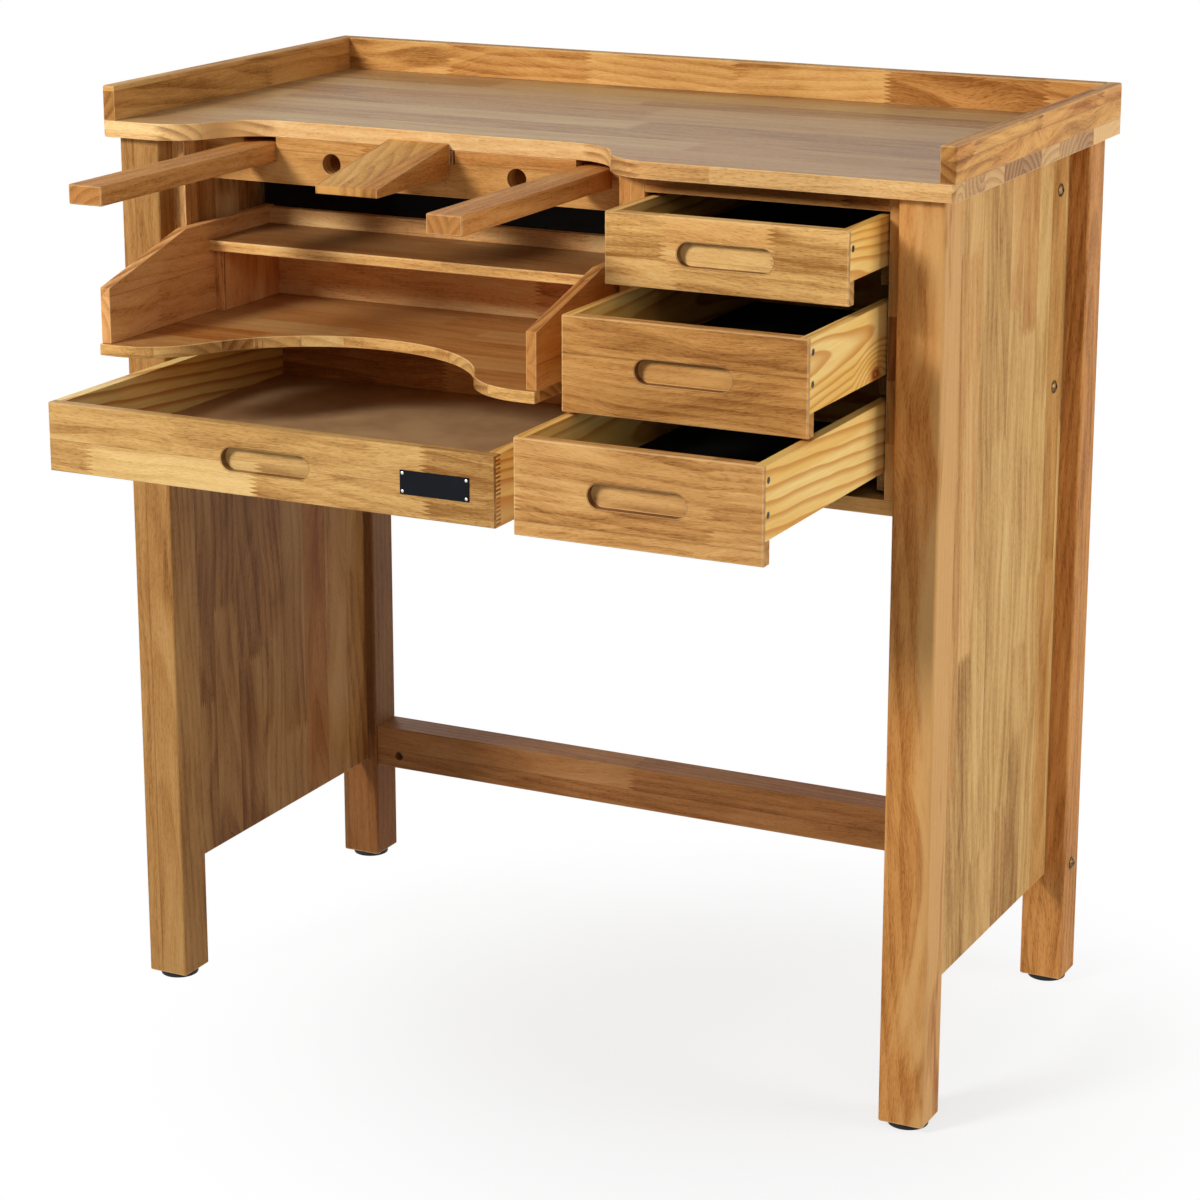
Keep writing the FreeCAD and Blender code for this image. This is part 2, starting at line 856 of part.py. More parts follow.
nodes = bench()
whole = group(list(nodes.values())).optimalBoundingBox(False, False)
to_origin = V(-whole.Center.x, -whole.Center.y, -whole.ZMin)
os.makedirs("parts", exist_ok=True)
for name, shape in nodes.items():
    shape.translate(to_origin)
    shape.exportStep(os.path.join("parts", name + ".step"))
overall = [round(side, 2) for side in (whole.XLength, whole.YLength, whole.ZLength)]
print(len(nodes), "nodes, overall", overall, "moved by", [round(value, 3) for value in to_origin])
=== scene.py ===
# %% [markdown]
# # A jeweller's bench, dressed in oiled wood
#
# The bench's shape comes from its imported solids, which are loaded as a fixed frame.  This lesson
# gives every board soft edges and a wood that is worked out by numbers, adds the small metal
# pieces, and sets up a plain studio.  All lengths are metres, X runs to the right, Y to the back
# and Z up, and every piece keeps the place that the solids give it.

# %% Load the frame
import bpy
import bmesh
import json
import math
from mathutils import Matrix, Vector


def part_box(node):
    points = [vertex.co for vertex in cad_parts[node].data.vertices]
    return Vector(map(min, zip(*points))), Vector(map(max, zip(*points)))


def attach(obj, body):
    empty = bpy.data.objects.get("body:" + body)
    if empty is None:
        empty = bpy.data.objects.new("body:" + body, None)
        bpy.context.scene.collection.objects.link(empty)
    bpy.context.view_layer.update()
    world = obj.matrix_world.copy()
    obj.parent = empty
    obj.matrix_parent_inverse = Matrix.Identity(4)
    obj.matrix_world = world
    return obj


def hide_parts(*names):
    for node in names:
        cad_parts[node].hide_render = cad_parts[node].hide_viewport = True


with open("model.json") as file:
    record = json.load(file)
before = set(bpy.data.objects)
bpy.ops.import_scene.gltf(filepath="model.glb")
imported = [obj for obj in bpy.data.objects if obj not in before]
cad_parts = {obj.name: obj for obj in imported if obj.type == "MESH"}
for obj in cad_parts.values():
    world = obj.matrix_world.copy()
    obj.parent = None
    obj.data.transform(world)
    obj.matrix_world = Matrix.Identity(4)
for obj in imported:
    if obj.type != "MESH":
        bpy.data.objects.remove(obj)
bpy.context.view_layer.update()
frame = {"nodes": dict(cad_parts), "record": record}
nodes = frame["nodes"]
body_of = {
    node: body
    for body, members in frame["record"]["behaviour"]["bodies"].items()
    for node in members
}
MM = 0.001

# %% [markdown]
# ## The camera
# The bench is seen from its right, from a little above the worktop, with a long lens that keeps
# its sides nearly parallel.  The camera looks along +Y when it is turned upright; `turn` swings it
# to the left and `tilt` lowers its gaze.  A small shift moves the bench up in the frame.

# %% Place the camera
def add_object(name, data):
    """Make an object at the origin and link it to the scene."""
    made = bpy.data.objects.new(name, data)
    bpy.context.collection.objects.link(made)
    return made


lens = 99.3
sensor_width = 36
shift = -0.08
turn = math.radians(26.47)
tilt = math.radians(14.76)
viewpoint = Vector((1.4755, -2.8726, 1.4040))

camera_data = bpy.data.cameras.new("bench_camera")
camera_data.lens = lens
camera_data.sensor_width = sensor_width
camera_data.shift_y = shift
camera = add_object("bench_camera", camera_data)
camera.location = viewpoint
camera.rotation_euler = (math.pi / 2 - tilt, 0, turn)
bpy.context.scene.camera = camera
print("camera", tuple(round(value, 3) for value in viewpoint), "lens", lens)

# %% [markdown]
# ## Writing node trees as Python
# A wood that is worked out by numbers needs dozens of small sums.  A node for each would be hard
# to read, so `Wire` wraps one output socket and turns `a * 2 + b` into Math nodes.  `Tree` holds
# a node tree and has one method, `node`, that adds any other node: its settings first, then the
# values or wires of its inputs.  Materials, the world and Geometry Nodes all use it.

# %% A number that varies over a surface
class Wire:
    """One output of a node, which can stand in a sum."""

    def __init__(self, tree, socket):
        self.tree = tree
        self.socket = socket

    def math(self, operation, *others):
        return self.tree.math(operation, self, *others)

    def __add__(self, other):
        return self.math("ADD", other)

    __radd__ = __add__

    def __mul__(self, other):
        return self.math("MULTIPLY", other)

    __rmul__ = __mul__

    def __sub__(self, other):
        return self.math("SUBTRACT", other)

    def __rsub__(self, other):
        return self.tree.math("SUBTRACT", other, self)

    def __truediv__(self, other):
        return self.math("DIVIDE", other)

    def floor(self):
        return self.math("FLOOR")

    def fraction(self):
        return self.math("FRACT")

    def size(self):
        return self.math("ABSOLUTE")

    def root(self):
        return self.math("SQRT")

    def ramp(self, low, high):
        """0 below low, 1 above high, and a smooth rise between."""
        return self.tree.node(
            "ShaderNodeMapRange", {"interpolation_type": "SMOOTHSTEP"},
            {"Value": self, "From Min": low, "From Max": high},
        )


def methods(kind):
    """The names of what a class can do, for a line that is printed."""
    return ", ".join(name for name in vars(kind) if not name.startswith("_"))


print("a wire can:", methods(Wire))


# %% A node tree
def set_stops(elements, stops):
    """Give a colour ramp its stops, each a position and a colour."""
    while len(elements) < len(stops):
        elements.new(0.5)
    for element, (position, colour) in zip(elements, stops):
        element.position = position
        element.color = colour


class Tree:
    """A node tree of any kind, with one method that adds any node."""

    def __init__(self, node_tree):
        self.node_tree = node_tree
        node_tree.nodes.clear()

    def node(self, kind, settings=None, inputs=None, output=0):
        """Add a node and return one of its outputs, or the node itself if output is None.

        A ramp's stops are a setting.  An input that takes several wires is given a list."""
        made = self.node_tree.nodes.new(kind)
        for key, value in (settings or {}).items():
            if key == "stops":
                set_stops(made.color_ramp.elements, value)
            else:
                setattr(made, key, value)
        for key, value in (inputs or {}).items():
            for one in (value if isinstance(value, list) else [value]):
                if isinstance(one, Wire):
                    self.node_tree.links.new(one.socket, made.inputs[key])
                else:
                    made.inputs[key].default_value = one
        return made if output is None else Wire(self, made.outputs[output])

    def math(self, operation, *values):
        return self.node("ShaderNodeMath", {"operation": operation}, dict(enumerate(values)))

    def vector(self, x, y, z):
        return self.node("ShaderNodeCombineXYZ", inputs={0: x, 1: y, 2: z})

    def parts(self, vector):
        """The three numbers of a vector."""
        split = self.node("ShaderNodeSeparateXYZ", inputs={0: vector}, output=None)
        return {axis: Wire(self, split.outputs[axis.upper()]) for axis in "xyz"}

    def looked_at(self):
        """1 for what the camera sees, directly or in a reflection, and 0 for other light."""
        rays = self.node("ShaderNodeLightPath", output=None)
        camera_ray, glossy_ray = (Wire(self, rays.outputs[f"Is {kind} Ray"])
                                  for kind in ("Camera", "Glossy"))
        return camera_ray.math("MAXIMUM", glossy_ray)


print("a tree can:", methods(Tree))


# %% A material
class Finish(Tree):
    """A material's tree, with the few things that every finish here asks for."""

    def __init__(self, name):
        self.material = bpy.data.materials.new(name)
        self.material.use_nodes = True
        super().__init__(self.material.node_tree)

    def place(self, output="Object"):
        """The point on the piece, or with "Normal" the way its surface faces, as three wires."""
        return self.parts(self.node("ShaderNodeTexCoord", output=output))

    def luck(self, a, b, c):
        """Three random numbers from 0 to 1 that change when a, b or c steps."""
        noise = self.node(
            "ShaderNodeTexWhiteNoise", {"noise_dimensions": "3D"},
            {"Vector": self.vector(a, b, c)}, output="Color",
        )
        split = self.node("ShaderNodeSeparateColor", inputs={0: noise}, output=None)
        return [Wire(self, split.outputs[index]) for index in range(3)]

    def cloud(self, x, y, z, detail, roughness, distortion=0.0):
        """Smooth noise from about 0.2 to 0.8."""
        return self.node(
            "ShaderNodeTexNoise", {"noise_dimensions": "3D"},
            {"Vector": self.vector(x, y, z), "Scale": 1.0, "Detail": detail,
             "Roughness": roughness, "Distortion": distortion},
        )

    def blend(self, factor, first, second):
        """Mix two colours."""
        return self.node(
            "ShaderNodeMix", {"data_type": "RGBA", "clamp_factor": True},
            {0: factor, 6: first, 7: second}, output=2,
        )

    def colours(self, factor, stops):
        """Colour from a ramp of (position, colour) stops."""
        return self.node("ShaderNodeValToRGB", {"stops": stops}, {0: factor})

    def relief(self, height, depth):
        """Normals for a surface whose height, 0 to 1, is a given depth in metres."""
        return self.node(
            "ShaderNodeBump", inputs={"Strength": 1.0, "Distance": depth, "Height": height},
            output="Normal",
        )

    def close(self, inputs):
        """Finish the tree with one surface shader and return the material."""
        surface = self.node("ShaderNodeBsdfPrincipled", inputs=inputs)
        self.node("ShaderNodeOutputMaterial", inputs={0: surface}, output=None)
        return self.material


print("a finish can:", methods(Finish))


# %% A colour
def shade(red, green, blue):
    """A colour written as 0 to 255 on a screen, as the light that a shader works in."""
    def light(value):
        value /= 255
        return value / 12.92 if value <= 0.04045 else ((value + 0.055) / 1.055) ** 2.4
    return (light(red), light(green), light(blue), 1.0)


print("a middle grey is", round(shade(128, 128, 128)[0], 3), "of white")

# %% [markdown]
# ## Oiled hardwood from glued staves
# The bench is made of short blocks of a pale tropical hardwood.  Blocks are joined end to end with
# zigzag finger joints into staves, and staves are glued side by side into boards.  A picture of
# wood laid on the faces would be the quick way, but it breaks at every edge and repeats.  Here the
# colour is worked out from the point in space, as if the board were cut from the tree, so face,
# edge and end belong together.  Each wood has a dark, a middle and a light tone.

# %% Tones of the woods
def tones(red, green, blue):
    """Dark, middle and light colours of one wood from its middle colour."""
    return (shade(red * 0.70, green * 0.60, blue * 0.46), shade(red, green, blue),
            shade(min(red * 1.13, 250), min(green * 1.22, 236), min(blue * 1.36, 205)))


HONEY = tones(206, 149, 80)
SUNNY = tones(230, 180, 108)
GOLD = tones(194, 141, 80)
STRAW = tones(198, 153, 90)
AMBER = tones(200, 138, 74)
COPPER = tones(230, 166, 100)
# a paler tone for the tray's back, painted light under the shelf
LIT_PEACH = tones(244, 186, 118)
TAN = tones(194, 138, 74)
BISCUIT = tones(168, 121, 67)
CREAM = tones(226, 178, 114)
# a darker tone for the rear left leg, painted shade
SHADED_UMBER = tones(126, 85, 48)
RUSSET = tones(158, 106, 60)
# a darker tone for the left end panel, painted shade
SHADED_TAN = tones(164, 117, 66)

ORANGE_TINT = shade(190, 100, 34)
GLUE_LINE = shade(96, 54, 22)
# a painted highlight on rounded edges, then a painted sheen on a board's right side
EDGE_HIGHLIGHT = shade(244, 204, 146)
SIDE_SHEEN = shade(212, 164, 102)
END_BROWN = shade(120, 70, 28)
# black towards the back (painted shade on the bearers), then the painted shade of the hollows and
# of faces that look up
BLACK_BEHIND = shade(26, 18, 14)
HOLLOW_SHADE = shade(84, 46, 20)
TOP_SHADE = shade(114, 74, 44)
TRAY_TOP_SHADE = shade(140, 68, 12)
SHELF_TOP_SHADE = shade(104, 42, 8)
print("honey wood, dark to light:", [tuple(round(part, 2) for part in tone) for tone in HONEY])

# %% [markdown]
# ### Staves and blocks
# A point's place across the board, divided by the width of a stave, gives the number of its stave,
# and its place along the board gives the number of its block.  The zigzag of the finger joint is
# added before that second division, so the border between two blocks follows it.  Random numbers
# that are drawn for a pair of such numbers stay the same all over one block.

# %% Find a point's block
FINGER_LENGTH = 10 * MM
FINGER_PITCH = 4.2 * MM
STAVE_SHIFT = 0.37              # of a stave for each seed, so that boards begin differently
SHORTEST_BLOCK = 0.7            # of the block length that a board asks for
BLOCK_VARIETY = 0.6             # the longest is this much more


def find_block(wood, along, side, seed, stave, block):
    """A point's stave number, its block number, and its place in the stave, -0.5 to 0.5."""
    count = side / stave + seed * STAVE_SHIFT
    row = count.floor()
    stretch, slide, _ = wood.luck(row, float(seed), 3.0)
    zigzag = ((side / FINGER_PITCH).fraction() - 0.5).size() * 2
    jointed = along + (zigzag - 0.5) * FINGER_LENGTH
    column = (jointed / block / (stretch * BLOCK_VARIETY + SHORTEST_BLOCK) + slide * 9).floor()
    return row, column, count.fraction() - 0.5


print("blocks are", SHORTEST_BLOCK, "to", round(SHORTEST_BLOCK + BLOCK_VARIETY, 2),
      "times the asked length")

# %% [markdown]
# ### Growth rings
# Rings are circles about the tree's heart.  Each block comes from another tree, so its heart lies
# at a random place to the side of the block and below it, and leans along it.  The faces then show
# long arches and the ends show arcs, as on a real board.

# %% Growth rings
RING_WIDTH = 9.0 * MM
HEART_ASIDE = 100 * MM          # hearts are spread over this width
HEART_NEAREST = 12 * MM         # and lie at least this far below the board's middle
HEART_BELOW = 70 * MM           # and at most this much further
LEAN_ASIDE, LEAN_BELOW = 0.14, 0.12


def growth_rings(across_stave, along, depth, luck, bend):
    """How dark each ring is: a slow rise from 0 to 1 that ends sharply."""
    aside, below, lean = luck
    ring_side = across_stave + (aside - 0.5) * HEART_ASIDE + along * ((lean - 0.5) * LEAN_ASIDE)
    ring_depth = (depth + below * HEART_BELOW + HEART_NEAREST
                  + along * ((aside - 0.5) * LEAN_BELOW))
    distance = (ring_side * ring_side + ring_depth * ring_depth).root()
    phase = (distance / RING_WIDTH + bend * 2.0).fraction()
    return phase.ramp(0.20, 0.86) * (1 - phase.ramp(0.88, 1.0))


print("a ring every", round(RING_WIDTH / MM, 1), "mm")

# %% [markdown]
# ### Marks of the grain
# Over the rings lie marks of many sizes, and each is noise that is stretched along the fibres:
# broad bands, streaks, fibres, pores, which are short dark dashes, and in some blocks a flame.

# %% Marks of the grain
MARKS = {
    # mark: changes per metre along and across, detail, roughness, distortion
    "broad": (5, 34, 2.0, 0.5, 0.9),
    "streak": (11, 230, 3.0, 0.8, 0.0),
    "fibre": (40, 750, 1.0, 0.6, 0.0),
    "pores": (170, 1600, 0.0, 0.5, 0.0),
    "flame": (3, 55, 1.0, 0.5, 0.0),
    "speck": (40, 800, 1.0, 0.5, 0.0),
}


def grain_marks(wood, a, b, c, drift):
    """Every mark as a wire; broad and streak go both ways from 0, the others from 0 to 1."""
    mark = {
        name: wood.cloud(a * along, b * across, c * across, *settings)
        for name, (along, across, *settings) in MARKS.items()
    }
    mark["broad"] = mark["broad"] - 0.5
    mark["streak"] = mark["streak"] - 0.5
    mark["fibre"] = mark["fibre"].ramp(0.32, 0.68)
    mark["pores"] = mark["pores"].ramp(0.58, 0.68)
    mark["flame"] = mark["flame"].ramp(0.62, 0.76) * drift.ramp(0.4, 0.9)
    mark["speck"] = mark["speck"].ramp(0.5, 0.66)
    return mark


print("marks of the grain:", ", ".join(MARKS))

# %% [markdown]
# ### Long grain and end grain
# All marks are added to one level, which picks a colour between the wood's tones.  A block may be
# tinted orange, and a fine dark line shows where two staves are glued.  Where a face cuts across
# the fibres it drinks more oil: slantwise cuts show the rings as dark arcs, and square ends go
# brown all over.  The surface's direction tells how a face is cut, so shaped edges come out right.

# %% Long grain
MIDDLE_LEVEL = 0.54
WEIGHT = {
    # how much each one lightens or darkens a face along the fibres
    "tone": 0.62, "broad": 0.95, "streak": 0.52, "fibre": 0.15, "ring": 0.17, "pores": 0.18,
    "flame": 0.22,
}
ORANGE_SHARE = 0.20
SEAM_SHARE = 0.30
SEAM_STARTS, SEAM_FULL = 0.484, 0.498    # of a stave from its middle


def long_grain(wood, colours, mark, ring, tone, hue, in_stave, spread, figure):
    """Colour of a face along the fibres."""
    level = (MIDDLE_LEVEL + (tone - 0.5) * (WEIGHT["tone"] * spread)
             + mark["broad"] * (WEIGHT["broad"] * figure) + mark["streak"] * WEIGHT["streak"]
             + (mark["fibre"] - 0.5) * WEIGHT["fibre"] - (ring - 0.4) * (WEIGHT["ring"] * figure)
             - mark["pores"] * WEIGHT["pores"] - mark["flame"] * WEIGHT["flame"])
    dark, middle, pale = colours
    colour = wood.colours(level, [(0.0, dark), (0.5, middle), (1.0, pale)])
    colour = wood.blend(hue.ramp(0.5, 1.0) * ORANGE_SHARE, colour, ORANGE_TINT)
    seam = in_stave.size().ramp(SEAM_STARTS, SEAM_FULL)
    return wood.blend(seam * SEAM_SHARE, colour, GLUE_LINE)


print("seams take up", round(200 * (0.5 - SEAM_STARTS), 1), "% of a stave")


# %% End grain
END_LEVEL = 0.44
END_WEIGHT = {"tone": 0.8, "ring": 0.18, "speck": 0.12}
END_SHARE = 0.85


def end_grain(wood, colour, middle, grain, mark, ring, tone, spread, arcs):
    """Darken the faces that cut across the fibres."""
    slant = wood.place("Normal")[grain].size()
    slantwise = slant.ramp(0.08, 0.30) * (1 - slant.ramp(0.80, 0.95))
    colour = wood.blend(slantwise * ring * arcs, colour, END_BROWN)
    level = (END_LEVEL + (tone - 0.5) * (END_WEIGHT["tone"] * spread)
             - (ring - 0.4) * END_WEIGHT["ring"] - mark["speck"] * END_WEIGHT["speck"])
    end_colour = wood.colours(level, [(0.0, END_BROWN), (0.6, middle)])
    return wood.blend(slant.ramp(0.30, 0.85) * END_SHARE, colour, end_colour)


print("long grain and end grain ready")

# %% [markdown]
# ### The grips' hollows
# Each drawer's front has a long round-ended hollow to pull it by.  Its wall is darkened with
# painted shade and a thin line round its mouth with a painted shadow, while its floor is made
# paler with painted light.  This could be painted on the mesh, but the hollow lies in the middle of
# the front, so its outline is a simple sum: the distance to a short line, less half its height.

# %% Darken a hollow
HOLLOW_LENGTH = 97 * MM         # with half a millimetre to spare all round
HOLLOW_HEIGHT = 24 * MM
HOLLOW_LIP = 0.9 * MM           # deeper than the rounded edge
HOLLOW_RIM = 0.2 * MM           # the painted shadow line lies this far outside the outline
# how much painted shade the wall gets, painted light the floor and painted shadow the rim
WALL_SHADE_SHARE, FLOOR_LIGHT_SHARE, RIM_SHADOW_SHARE = 0.62, 0.25, 0.35


def paint_hollow_shade(wood, colour, pale, along, side, deeper_than_lip):
    """Paint shade on the wall of the hollow in the middle of a front, a shadow line round its rim
    and light on its floor.
    """
    past = (along.size() - (HOLLOW_LENGTH - HOLLOW_HEIGHT) / 2).math("MAXIMUM", 0.0)
    outline = (past * past + side * side).root() - HOLLOW_HEIGHT / 2
    inside = outline.math("LESS_THAN", 0.0) * deeper_than_lip
    wall = 1 - wood.place("Normal")["y"].size().ramp(0.3, 0.7)
    colour = wood.blend(inside * wall * WALL_SHADE_SHARE, colour, HOLLOW_SHADE)
    colour = wood.blend(inside * (1 - wall) * FLOOR_LIGHT_SHARE, colour, pale)
    rim = 1 - (outline - HOLLOW_RIM).size().ramp(0.2 * MM, 0.9 * MM)
    return wood.blend(rim * RIM_SHADOW_SHARE, colour, HOLLOW_SHADE)


print("hollow", round(HOLLOW_LENGTH / MM), "by", round(HOLLOW_HEIGHT / MM), "mm")

# %% [markdown]
# ### The whole board
# One function puts these together, and adds what few boards have: a paler right side, which is a
# painted sheen, black towards the back, which on the bearers is painted shade, and on faces that
# look up a darker colour, which is painted shade, under a coat of oil that gives them a soft shine.
# The faces that a later step marks as edges are paler, which is a painted highlight.

# %% Hardwood
SIDE_SHEEN_EDGE = 20 * MM          # how softly the painted sheen sets in, right of the board's middle
SIDE_SHEEN_WAVER = 90 * MM
BLACK_EDGE = 25 * MM
BLACK_WAVER = 8 * MM
GRAIN_DEPTH = 0.10 * MM
SWAY = 50 * MM                  # how far the grain wanders sideways
EDGE_HIGHLIGHT_SHARE = 0.32
SHINE = 0.7                     # weight of the shiny coat for each unit of top_shade_and_oil
FULL_COAT = 0.5                 # more than this darkens a face with painted shade but adds no shine


def hardwood(name, node, grain, across, seed, stave, block, colours, spread=1.0, figure=1.0,
             gloss=0.5, top_shade_and_oil=0.0, oiled=TOP_SHADE, black_from=None, arcs=0.6, sapwood=0.0):
    """Material for a board whose grain runs along one axis, with its staves across another.

    spread is how much its blocks differ, figure how lively the grain is, gloss the roughness,
    top_shade_and_oil how much of oiled, a painted shade, lies on faces that look up and
    how much coat of oil they get, black_from where along Y black begins, arcs how dark rings are on
    slantwise cuts, and sapwood how pale its right side is, a painted sheen."""
    wood = Finish(name)
    low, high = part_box(node)
    point = wood.place()
    local = {
        axis: point[axis] - (low[index] + high[index]) / 2 for index, axis in enumerate("xyz")
    }
    along, side = local[grain], local[across]
    depth = local[(set("xyz") - {grain, across}).pop()]
    row, column, in_stave = find_block(wood, along, side, seed, stave, block)
    tone, hue, drift = wood.luck(row, column, seed + 0.5)
    luck = wood.luck(column, row, seed + 7.5)

    # each block shows a part of the noise of its own, and its grain sways with the bend
    a, b, c = along + tone * 5, side + hue * 3, depth + drift * 3
    bend = wood.cloud(a * 5, b * 9, c * 9, 1.0, 0.5) - 0.5
    mark = grain_marks(wood, a, b + bend * (SWAY * figure), c, drift)
    ring = growth_rings(in_stave * stave, along, depth, luck, bend)

    colour = long_grain(wood, colours, mark, ring, tone, hue, in_stave, spread, figure)
    # painted sheen: the board is paler towards its right side
    if sapwood:
        sheen_side = (local["x"] + mark["broad"] * SIDE_SHEEN_WAVER).ramp(0.0, SIDE_SHEEN_EDGE)
        colour = wood.blend(sheen_side * sapwood, colour, SIDE_SHEEN)
    colour = end_grain(wood, colour, colours[1], grain, mark, ring, tone, spread, arcs)
    # painted highlight: the faces of the rounded edges are paler
    highlit = wood.node("ShaderNodeAttribute", {"attribute_name": "worn_edge"}, output="Fac")
    colour = wood.blend(highlit * EDGE_HIGHLIGHT_SHARE, colour, EDGE_HIGHLIGHT)
    # painted shade on the hollow's wall, a painted shadow line round it and painted light on its
    # floor
    if node.endswith("_front"):
        deeper_than_lip = point["y"].math("GREATER_THAN", low[1] + HOLLOW_LIP)
        colour = paint_hollow_shade(wood, colour, colours[2], along, side, deeper_than_lip)
    # black towards the back: on the bearers this is painted shade; on the cabinet's sides it begins
    # behind their front edges
    if black_from is not None:
        blackened = (point["y"] + mark["fibre"] * BLACK_WAVER).ramp(black_from,
                                                                black_from + BLACK_EDGE)
        colour = wood.blend(blackened, colour, BLACK_BEHIND)
    coat = 0.0
    # painted shade: faces that look up are darker; their coat of oil is real and gives a soft shine
    if top_shade_and_oil:
        upward = wood.place("Normal")["z"].ramp(0.90, 0.99)
        colour = wood.blend(upward * top_shade_and_oil, colour, oiled)
        coat = upward * (min(top_shade_and_oil, FULL_COAT) * SHINE)
    height = mark["fibre"] * 0.4 - mark["pores"] * 0.9 - ring * 0.3
    return wood.close({
        "Base Color": colour, "Roughness": mark["streak"] * 0.25 + mark["pores"] * 0.12 + gloss,
        "Normal": wood.relief(height, GRAIN_DEPTH), "Specular IOR Level": 0.08,
        "Coat Weight": coat, "Coat Roughness": 0.35,
    })


print("hardwood ready")

# %% [markdown]
# ## Knotty pine for the drawers' sides
# Pine has wide pale bands of spring wood and narrow orange bands of summer wood, soft on one side
# and sharp on the other.  The tree's heart lay close behind the board and leaned across it, so the
# rings show as long arches, tight near the edges and wide along the middle.  Stripes of noise
# would be simpler, but only circles about a heart give such arches.  Noise bends them a little,
# and a knot pushes them aside.

# %% Pine
PINE_PALE = shade(242, 206, 128)
PINE_WARM = shade(232, 182, 92)
PINE_LATE = shade(196, 122, 40)
PINE_FIBRE = shade(206, 150, 80)
KNOT_HALO = shade(206, 128, 46)
KNOT_DARK = shade(120, 58, 20)
KNOT_LIGHT = shade(182, 108, 46)
KNOT_REACH = 40 * MM            # rings bend this far round a knot
KNOT_PUSH = 22 * MM             # and are pushed this far aside at its middle
KNOT_RINGS = 1500               # radians of their light and dark waves per metre
PINE_BEND = 12 * MM
PINE_MARKS = {
    # mark: changes per metre through, along and up the board, detail, roughness
    "bend": (8, 4, 10, 1.0, 0.5),
    "waver": (40, 14, 60, 1.0, 0.5),
    "fibre": (900, 26, 900, 1.0, 0.6),
    "broad": (30, 3, 30, 2.0, 0.5),
}


def pine(name, node, seed, heart=(0.05, 0.0), lean=(0.03, 0.02), knot=None, contrast=0.75,
         ring_width=6.5 * MM, pale=PINE_PALE, warm=PINE_WARM, crosswise=False):
    """Material for an upright board along Y with its face towards X, or crosswise, along X.

    heart is how far the tree's middle lay behind and below the board's own, and lean is how much
    both change along the board.  knot is the Y and Z of a knot's middle."""
    wood = Finish(name)
    low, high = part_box(node)
    point = wood.place()
    x, y, z = (point[axis] - (low[index] + high[index]) / 2 for index, axis in enumerate("xyz"))
    if crosswise:
        x, y = y, x
    shifted = y + seed * 1.7
    mark = {
        name: wood.cloud(x * through, shifted * along, z * up, *settings)
        for name, (through, along, up, *settings) in PINE_MARKS.items()
    }
    bend, waver = mark["bend"] - 0.5, mark["waver"] - 0.5
    behind = x + heart[0] + y * lean[0] + bend * PINE_BEND
    below = z + heart[1] + y * lean[1] + bend * PINE_BEND
    distance = (behind * behind + below * below).root()
    if knot:
        knot_y, knot_z = point["y"] - knot[0], point["z"] - knot[1]
        knot_distance = (knot_y * knot_y * 0.45 + knot_z * knot_z).root()
        distance = distance + (1 - knot_distance.ramp(0.0, KNOT_REACH)) * KNOT_PUSH
    phase = (distance / ring_width + waver * 0.35).fraction()
    late = phase.ramp(0.40, 0.88) * (1 - phase.ramp(0.90, 1.0))
    fibre = mark["fibre"].ramp(0.35, 0.65)
    colour = wood.blend(mark["broad"].ramp(0.35, 0.65), pale, warm)
    colour = wood.blend(late * contrast, colour, PINE_LATE)
    colour = wood.blend(fibre * 0.16, colour, PINE_FIBRE)
    if knot:
        knot_rings = (knot_distance * KNOT_RINGS).math("SINE") * 0.5 + 0.5
        knot_colour = wood.blend(knot_rings, KNOT_DARK, KNOT_LIGHT)
        halo = 1 - knot_distance.ramp(6 * MM, 16 * MM)
        heartwood = 1 - knot_distance.ramp(5.5 * MM, 7.5 * MM)
        colour = wood.blend(halo * 0.6, colour, KNOT_HALO)
        colour = wood.blend(heartwood, colour, knot_colour)
    normal = wood.relief(fibre * 0.5 - late * 0.4, 0.08 * MM)
    return wood.close({"Base Color": colour, "Roughness": fibre * 0.12 + 0.46,
                       "Normal": normal, "Specular IOR Level": 0.15})


print("pine ready")

# %% [markdown]
# ## Boards, metal and rubber
# The sweep drawer's floor is brown hardboard with faint mottling.  The drawers' floors and the
# back are black board with a fine tooth, and the feet are black rubber, so one recipe does all
# sheet goods: two near tones in soft patches, and a fine tooth in colour, gloss and relief.  Bolts
# are bronzed, screws dark, rivets bright and the hidden nuts plain zinc.  Their recipe is patches
# of two tones under fine brush marks.

# %% Sheet goods and metal
BOARD_PATCHES = 14              # changes per metre, as all of these
METAL_PATCHES = 420
BRUSH_ALONG, BRUSH_ACROSS = 300, 1800


def board_stock(name, dark, light, teeth_per_metre, rough, depth, shine=0.3):
    """Material for hardboard, black board, rubber or a painted plate."""
    stock = Finish(name)
    point = stock.place()
    patch = stock.cloud(*(point[axis] * BOARD_PATCHES for axis in "xyz"), 3.0, 0.6)
    tooth = stock.cloud(*(point[axis] * teeth_per_metre for axis in "xyz"), 2.0, 0.6)
    colour = stock.blend(patch.ramp(0.3, 0.7) * 0.7 + tooth * 0.3, dark, light)
    return stock.close({"Base Color": colour, "Roughness": tooth * 0.15 + rough,
                        "Normal": stock.relief(tooth, depth), "Specular IOR Level": shine})


def worn_metal(name, dark, light, rough):
    """Material for a small metal piece."""
    metal = Finish(name)
    point = metal.place()
    patch = metal.cloud(*(point[axis] * METAL_PATCHES for axis in "xyz"), 3.0, 0.6)
    brush = metal.cloud(point["x"] * BRUSH_ALONG, point["y"] * BRUSH_ACROSS,
                        point["z"] * BRUSH_ACROSS, 2.0, 0.5)
    colour = metal.blend(patch.ramp(0.35, 0.65), dark, light)
    return metal.close({"Base Color": colour, "Metallic": 1.0,
                        "Roughness": brush * 0.2 + rough,
                        "Normal": metal.relief(brush, 0.02 * MM)})


